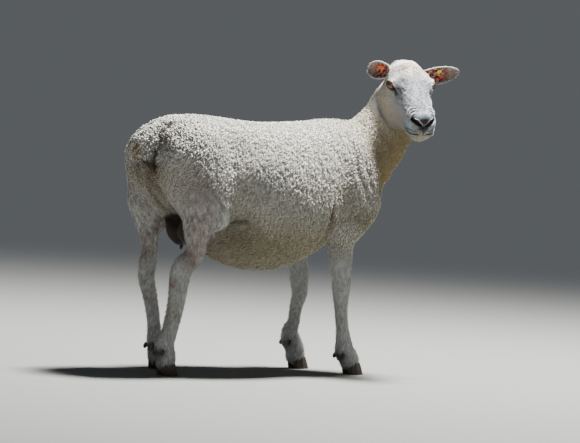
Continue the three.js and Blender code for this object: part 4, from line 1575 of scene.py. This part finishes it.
COAT_INPUTS = [
    ("Skin", "Geometry", None),
    ("Region", "Int", 0),
    ("Seed", "Int", 1),
    ("Spacing", "Float", 0.0032),
    ("Density", "Float", 2e5),
    ("Length", "Float", 0.008),
    ("Width", "Float", 0.004),
    ("Lift", "Float", 0.4),
    ("Turn", "Float", 0.5),
    ("Rise", "Float", 0.002),
    ("Patch", "Float", 0.003),
    ("Lock", "Object", None),
    ("Finish", "Material", None),
]


def named(tree, name, kind="FLOAT"):
    """An attribute of the skin, as the locks read it."""
    return node(tree, "GeometryNodeInputNamedAttribute", {"Name": name}, data_type=kind).outputs["Attribute"]


def chance(tree, given, low, high, offset):
    """A random value for each lock, of its own seed."""
    seed = maths(tree, "ADD", given["Seed"], offset)
    inputs = {"Min": low, "Max": high, "Seed": seed}
    return node(tree, "FunctionNodeRandomValue", inputs, data_type="FLOAT").outputs[1]


def scatter_roots(tree, given):
    """The roots of the locks, over one region of the skin."""
    same = {"A": named(tree, "region", "INT"), "B": given["Region"]}
    chosen = node(tree, "FunctionNodeCompare", same, data_type="INT", operation="EQUAL")
    inputs = {
        "Mesh": given["Skin"],
        "Selection": chosen.outputs[0],
        "Distance Min": given["Spacing"],
        "Density Max": given["Density"],
        "Density Factor": named(tree, "cover"),
        "Seed": given["Seed"],
    }
    return node(tree, "GeometryNodeDistributePointsOnFaces", inputs, distribute_method="POISSON")


def tone_of_locks(tree, given):
    """From 0 in the partings to 1 on the clumps, with a little chance."""
    noise = {"Detail": 1.0, "Distortion": 0.5, "Scale": 1.0, "Vector": named(tree, "grain", "FLOAT_VECTOR")}
    clumps = node(tree, "ShaderNodeTexNoise", noise)
    span = {"From Min": 0.36, "From Max": 0.62, "Value": clumps.outputs["Fac"]}
    clump = node(tree, "ShaderNodeMapRange", span, interpolation_type="SMOOTHSTEP")
    by_clump = maths(tree, "MULTIPLY", clump.outputs[0], 0.7)
    by_chance = maths(tree, "MULTIPLY", chance(tree, given, 0, 1, 5), 0.3)
    return maths(tree, "ADD", by_clump, by_chance)


def raise_roots(tree, given, roots, tone):
    """The roots with their tone kept on them, higher on the clumps than in the partings."""
    kept = {"Name": "tone", "Geometry": roots.outputs["Points"], "Value": tone}
    toned = node(tree, "GeometryNodeStoreNamedAttribute", kept, data_type="FLOAT", domain="POINT")
    rise = maths(tree, "MULTIPLY", maths(tree, "SUBTRACT", tone, 0.45), given["Rise"])
    away = scaled(tree, roots.outputs["Normal"], rise)
    moved = {"Geometry": toned.outputs["Geometry"], "Offset": away}
    return node(tree, "GeometryNodeSetPosition", moved).outputs["Geometry"]


def aim_of_locks(tree, given, roots):
    """Along the lie of the coat, lifted from the skin and turned aside by chance."""
    axes = {"Primary Axis": roots.outputs["Normal"], "Secondary Axis": named(tree, "lie", "FLOAT_VECTOR")}
    aim = node(tree, "FunctionNodeAxesToRotation", axes, primary_axis="Z", secondary_axis="X")
    lift = maths(tree, "MULTIPLY", given["Lift"], chance(tree, given, -1.5, -0.4, 7))
    aside = maths(tree, "MULTIPLY", given["Turn"], chance(tree, given, -1, 1, 11))
    angles = node(tree, "ShaderNodeCombineXYZ", {"Y": lift, "Z": aside})
    turn = node(tree, "FunctionNodeEulerToRotation", {0: angles.outputs[0]})
    both = {"Rotation": aim.outputs[0], "Rotate By": turn.outputs[0]}
    return node(tree, "FunctionNodeRotateRotation", both, rotation_space="LOCAL").outputs[0]


def lengths_of_locks(tree, given, tone):
    """The length and width of each lock, larger on the clumps."""
    by_tone = maths(tree, "ADD", maths(tree, "MULTIPLY", tone, 0.6), 0.7)
    by_place = maths(tree, "MULTIPLY", named(tree, "size"), by_tone)
    grown = maths(tree, "MULTIPLY", chance(tree, given, 0.7, 1.2, 13), by_place)
    length, width = (maths(tree, "MULTIPLY", given[name], grown) for name in ("Length", "Width"))
    return node(tree, "ShaderNodeCombineXYZ", {"X": length, "Y": width, "Z": width}).outputs[0]


def map_of_locks(tree, given):
    """Each lock's patch of map, at its root's place on an unrolling of the form below."""
    wrap = node(tree, "ShaderNodeSeparateXYZ", {0: named(tree, "wrap", "FLOAT_VECTOR")}).outputs
    turns = maths(tree, "DIVIDE", maths(tree, "ARCTAN2", wrap["X"], wrap["Y"]), 2 * math.pi)
    along = maths(tree, "DIVIDE", wrap["Z"], 1000.0)
    place = node(tree, "ShaderNodeCombineXYZ", {"X": maths(tree, "ADD", turns, 0.5), "Y": along})
    patch = scaled(tree, named(tree, "patch", "FLOAT_VECTOR"), given["Patch"])
    return node(tree, "ShaderNodeVectorMath", {0: place.outputs[0], 1: patch}, operation="ADD").outputs[0]


def coat_tree():
    """Sets locks over one region of the skin, along the lie of the coat, each with its own patch of map."""
    tree = bpy.data.node_groups.new("Coat", "GeometryNodeTree")
    add_sockets(tree, "INPUT", COAT_INPUTS)
    add_sockets(tree, "OUTPUT", [("Coat", "Geometry", None)])
    given = tree.nodes.new("NodeGroupInput").outputs
    roots = scatter_roots(tree, given)
    tone = tone_of_locks(tree, given)
    shape = node(tree, "GeometryNodeObjectInfo", {"Object": given["Lock"]})
    placing = {
        "Points": raise_roots(tree, given, roots, tone),
        "Instance": shape.outputs["Geometry"],
        "Rotation": aim_of_locks(tree, given, roots),
        "Scale": lengths_of_locks(tree, given, tone),
    }
    locks = node(tree, "GeometryNodeInstanceOnPoints", placing)
    solid = node(tree, "GeometryNodeRealizeInstances", {"Geometry": locks.outputs["Instances"]})
    kept = {"Name": "OFBake", "Geometry": solid.outputs[0], "Value": map_of_locks(tree, given)}
    mapped = node(tree, "GeometryNodeStoreNamedAttribute", kept, data_type="FLOAT2", domain="CORNER")
    finished = {"Geometry": mapped.outputs[0], "Material": given["Finish"]}
    finish = node(tree, "GeometryNodeSetMaterial", finished)
    node(tree, "NodeGroupOutput", {"Coat": finish.outputs[0]})
    return tree


# What the locks read from the skin and don't keep.
CARRIED = ("region", "wool", "cover", "lie", "wrap", "size", "patch", "grain", "tint")
FLOOR_CLEARANCE = 0.0002


def keep_inside(mesh):
    """Holds every point within the box of the solids."""
    places = np.empty(3 * len(mesh.vertices), np.float32)
    mesh.vertices.foreach_get("co", places)
    low, high = (np.array(corner, np.float32) for corner in CAD_BOX)
    places = np.clip(places.reshape(-1, 3), low + (0, 0, FLOOR_CLEARANCE), high)
    mesh.vertices.foreach_set("co", places.ravel())
    mesh.update()


def grow_coat(skin, tree, lock, name, region, material, seed, **sizes):
    """One piece of coat, made plain mesh."""
    carrier = bpy.data.objects.new("carrier", skin.data)
    bpy.context.scene.collection.objects.link(carrier)
    modifier = carrier.modifiers.new("Coat", "NODES")
    modifier.node_group = tree
    values = dict(sizes, Region=region, Seed=seed, Lock=lock, Finish=material)
    for item in tree.interface.items_tree:
        if item.in_out == "INPUT" and item.name in values:
            modifier[item.identifier] = values[item.name]
    bpy.context.view_layer.update()
    evaluated = carrier.evaluated_get(bpy.context.evaluated_depsgraph_get())
    mesh = bpy.data.meshes.new_from_object(evaluated)
    carrier.modifiers.clear()
    bpy.data.objects.remove(carrier)
    for layer in [a.name for a in mesh.attributes if a.name in CARRIED]:
        mesh.attributes.remove(mesh.attributes[layer])
    keep_inside(mesh)
    mesh.name = name
    piece = bpy.data.objects.new(name, mesh)
    bpy.context.scene.collection.objects.link(piece)
    return piece


# ---- Eyes ----
def eye_material():
    """An amber iris round a level, dark pupil, wet over all, for a ball whose map runs across its front."""
    material, tree, shader = new_material("amber_eye")
    uv = node(tree, "ShaderNodeUVMap", uv_map="front")
    parts = node(tree, "ShaderNodeSeparateXYZ", {0: uv.outputs[0]}).outputs
    u, v = (maths(tree, "SUBTRACT", parts[k], 0.5) for k in (0, 1))
    squares = maths(tree, "ADD", maths(tree, "MULTIPLY", u, u), maths(tree, "MULTIPLY", v, v))
    radius = maths(tree, "SQRT", squares)
    bars = []
    for place, half, power in ((u, 0.24, 3), (v, 0.115, 2.2)):
        share = maths(tree, "ABSOLUTE", maths(tree, "DIVIDE", place, half))
        bars.append(maths(tree, "POWER", share, power))
    pupil = maths(tree, "LESS_THAN", maths(tree, "ADD", *bars), 1.0)
    round_it = maths(tree, "MULTIPLY", maths(tree, "ARCTAN2", v, u), 3.2)
    polar = node(tree, "ShaderNodeCombineXYZ", {"X": round_it, "Y": maths(tree, "MULTIPLY", radius, 1.5)})
    streaks = node(tree, "ShaderNodeTexNoise", {"Scale": 9, "Detail": 4, "Vector": polar.outputs[0]})
    iris = colour_ramp(tree, streaks.outputs["Fac"], [(0.3, IRIS_DARK), (0.72, IRIS_PALE)])
    rings = [(0.30, (1, 1, 1)), (0.37, (0.02, 0.014, 0.01)), (0.44, (0.30, 0.22, 0.17))]
    edge = colour_ramp(tree, radius, rings)
    both = {"Factor": 1, 6: iris, 7: edge}
    tinted = node(tree, "ShaderNodeMix", both, data_type="RGBA", blend_type="MULTIPLY")
    with_pupil = {"Factor": pupil, 6: tinted.outputs[2], 7: (0.006, 0.008, 0.012, 1)}
    finish = {
        "Base Color": node(tree, "ShaderNodeMix", with_pupil, data_type="RGBA").outputs[2],
        "Roughness": 0.3,
        "Specular IOR Level": 0.2,
        "Coat Weight": 0.35,
        "Coat Roughness": 0.03,
    }
    set_inputs(tree, shader, finish)
    return material


CORNEA_SWELL = 1.3
CORNEA_ANGLE = 0.52
EYE_RINGS = 40
EYE_TURNS = 64


def make_eye(hand, side, material):
    """An eyeball with its cornea swelling from the front, turned to look where the eye looks."""
    polar = np.linspace(0, math.pi, EYE_RINGS + 1)[1:-1]
    turns = np.arange(EYE_TURNS) * 2 * math.pi / EYE_TURNS
    p, t = np.meshgrid(polar, turns, indexing="ij")
    radius = EYE_RADIUS + CORNEA_SWELL * ridge(p, CORNEA_ANGLE, 4)
    flat = [radius * np.cos(p), radius * np.sin(p) * np.cos(t), radius * np.sin(p) * np.sin(t)]
    flat = np.stack(flat, -1).reshape(-1, 3)
    flat = np.concatenate([flat, [[EYE_RADIUS + CORNEA_SWELL, 0, 0], [-EYE_RADIUS, 0, 0]]])
    points = from_head(eye_centre(side) + flat @ np.stack(eye_frame(side)))
    last = len(polar) - 1
    faces = []
    for j in range(EYE_TURNS):
        k = (j + 1) % EYE_TURNS
        faces.append((len(flat) - 2, j, k))
        faces.append((len(flat) - 1, last * EYE_TURNS + k, last * EYE_TURNS + j))
        for i in range(last):
            a, b = i * EYE_TURNS, (i + 1) * EYE_TURNS
            faces += [(a + j, b + j, b + k), (a + j, b + k, a + k)]
    faces = outward(points - points.mean(0), np.array(faces))
    eyeball = mesh_object(f"eyeball_{hand}", to_metres(points), faces)
    layer = eyeball.data.uv_layers.new(name="front")
    front = flat[:, 1:] / (2.2 * EYE_RADIUS) + 0.5
    layer.data.foreach_set("uv", front[faces.ravel()].astype(np.float32).ravel())
    eyeball.data.materials.append(material)
    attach(eyeball, "root")
    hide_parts(f"eye_{hand}")


# ---- Finishes of the hoofs and tags, which keep their solids ----
def horn_material():
    """Dark horn of the hoofs, grained along the wall."""
    material, tree, shader = new_material("hoof_horn")
    place = tree.nodes.new("ShaderNodeTexCoord").outputs["Object"]
    stretch = node(tree, "ShaderNodeMapping", {"Scale": (60, 60, 260), "Vector": place})
    noise = {"Scale": 1.0, "Detail": 4, "Vector": stretch.outputs[0]}
    grain = node(tree, "ShaderNodeTexNoise", noise).outputs["Fac"]
    bump = node(tree, "ShaderNodeBump", {"Distance": 0.0012, "Strength": 0.6, "Height": grain})
    finish = {
        "Base Color": colour_ramp(tree, grain, [(0, HORN_DARK), (1, HORN_PALE)]),
        "Normal": bump.outputs["Normal"],
        "Roughness": 0.55,
    }
    set_inputs(tree, shader, finish)
    return material


TAG_COLOURS = {"orange": srgb("f06a1e"), "yellow": srgb("dcd21e")}


def tag_material(name, colour):
    """Slightly soiled plastic of an ear tag."""
    material, tree, shader = new_material(name)
    mottle = place_mottle(tree, (*colour, 1), Scale=500.0, Amount=0.25, Drift=0.15)
    set_inputs(tree, shader, {"Base Color": mottle.outputs["Colour"], "Roughness": 0.4})
    return material


def dress_solids():
    horn = horn_material()
    finishes = {name: tag_material(f"{name}_tag", colour) for name, colour in TAG_COLOURS.items()}
    for name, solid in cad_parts.items():
        if "claw" in name:
            chosen = horn
        elif name.startswith("tag"):
            chosen = finishes[name.split("_")[1]]
        else:
            continue
        solid.data.materials.clear()
        solid.data.materials.append(chosen)


# ---- Stage ----
CAMERA = dict(
    azimuth=-38.0,
    elevation=2.2,
    roll=3.3,
    distance=10.0,
    target=(0.0269, 0.0313, 0.424),
    lens=220.1,
)
FLOOR_REACH = 9
FLOOR_COLOUR = (0.15, 0.154, 0.147, 1)
BACKDROP = {"Color": (0.86, 0.93, 1.0, 1), "Strength": 0.12}
SUN = dict(place=(1.45, 0.2, 4.6), aim=(0, 0, 0.5), size=0.8, power=1900, colour=(1.0, 0.98, 0.95))
FILL = dict(place=(-3.2, -4.2, 2.6), aim=(0, 0, 0.45), size=3.0, power=15, colour=(0.92, 0.97, 1.0))


def set_camera():
    azimuth, elevation, roll = (math.radians(CAMERA[k]) for k in ("azimuth", "elevation", "roll"))
    level = math.cos(elevation)
    look = Vector((-math.sin(azimuth) * level, math.cos(azimuth) * level, -math.sin(elevation)))
    right = Vector((math.cos(azimuth), math.sin(azimuth), 0))
    up = right.cross(look)
    right_rolled = right * math.cos(roll) + up * math.sin(roll)
    up_rolled = up * math.cos(roll) - right * math.sin(roll)
    camera = bpy.data.objects.new("camera", bpy.data.cameras.new("camera"))
    camera.data.lens = CAMERA["lens"]
    camera.data.sensor_width = 36
    camera.data.clip_end = 200
    turn = Matrix((right_rolled, up_rolled, -look)).transposed().to_4x4()
    camera.matrix_world = Matrix.Translation(Vector(CAMERA["target"]) - look * CAMERA["distance"]) @ turn
    bpy.context.scene.collection.objects.link(camera)
    bpy.context.scene.camera = camera


def area_light(name, place, aim, size, power, colour):
    light = bpy.data.lights.new(name, "AREA")
    light.size, light.energy, light.color = size, power, colour
    made = bpy.data.objects.new(name, light)
    turn = (Vector(place) - Vector(aim)).to_track_quat("Z", "Y").to_matrix().to_4x4()
    made.matrix_world = Matrix.Translation(place) @ turn
    bpy.context.scene.collection.objects.link(made)


def floor_material():
    """Pale floor that fades out with distance from its middle."""
    material, tree, shader = new_material("studio_floor")
    place = tree.nodes.new("ShaderNodeTexCoord").outputs["Object"]
    away = node(tree, "ShaderNodeVectorMath", {0: place}, operation="LENGTH")
    span = {"From Min": 1.6, "From Max": 7.5, "To Min": 1.0, "To Max": 0.0, "Value": away.outputs["Value"]}
    fade = node(tree, "ShaderNodeMapRange", span, interpolation_type="SMOOTHSTEP")
    finish = {"Base Color": FLOOR_COLOUR, "Roughness": 0.9, "Alpha": fade.outputs[0]}
    set_inputs(tree, shader, finish)
    return material


def set_stage():
    """A pale floor that fades into an even backdrop, a small sun panel overhead and a weak fill in front."""
    corners = [(-1, -1, 0), (1, -1, 0), (1, 1, 0), (-1, 1, 0)]
    floor = mesh_object("floor", FLOOR_REACH * np.array(corners), [(0, 1, 2, 3)])
    floor.data.materials.append(floor_material())
    world = bpy.data.worlds.new("studio")
    world.use_nodes = True
    set_inputs(world.node_tree, world.node_tree.nodes["Background"], BACKDROP)
    bpy.context.scene.world = world
    area_light("sun_panel", **SUN)
    area_light("front_panel", **FILL)


# ---- Making it all ----
HEAD_COAT = dict(Spacing=0.0016, Density=9e5, Length=0.0095, Width=0.0021, Lift=0.2, Turn=0.35, Rise=0.0005)
EAR_COAT = dict(HEAD_COAT, Length=0.0066, Width=0.0013)
BODY_COAT = dict(Spacing=0.0021, Density=5e5, Length=0.0072, Width=0.0026, Lift=0.42, Turn=0.8, Rise=0.0030)
LEG_COAT = dict(BODY_COAT, Length=0.0105, Width=0.0024, Lift=0.32, Turn=0.4, Rise=0.0016)
FIRST_SEED = 10


def sizes_of_coat(name):
    """The sizes of the locks on one region."""
    if name == "ears":
        sizes = EAR_COAT
    elif name.startswith("head"):
        sizes = HEAD_COAT
    else:
        sizes = LEG_COAT if "leg" in name else BODY_COAT
    return dict(sizes, Spacing=sizes["Spacing"] * 1.0)


def dress_skin(skin):
    """Grows the coat over every region but the udder, whose skin is bare."""
    wool = coat_material("shorn_wool", root_shade=0.5, amount=0.68, sheen=0.25)
    hair = coat_material("short_hair", root_shade=0.6, amount=0.48, sheen=0.15)
    tree, lock = coat_tree(), lock_shape()
    for number, name in enumerate(REGIONS):
        if name == "udder":
            continue
        on_head = name == "ears" or name.startswith("head")
        finish = hair if on_head else wool
        sizes = sizes_of_coat(name)
        piece = grow_coat(skin, tree, lock, f"coat_{name}", number, finish, FIRST_SEED + number, **sizes)
        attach(piece, "root")
    bpy.data.objects.remove(lock)


def main():
    set_camera()
    set_stage()
    skin = make_skin()
    skin.data.materials.append(skin_material())
    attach(skin, "root")
    flesh = [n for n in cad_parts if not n.startswith(("eye", "tag", "claw", "dewclaw"))]
    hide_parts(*flesh)
    amber = eye_material()
    for hand, side in SIDES.items():
        make_eye(hand, side, amber)
    dress_solids()
    keep_inside(skin.data)
    dress_skin(skin)


main()
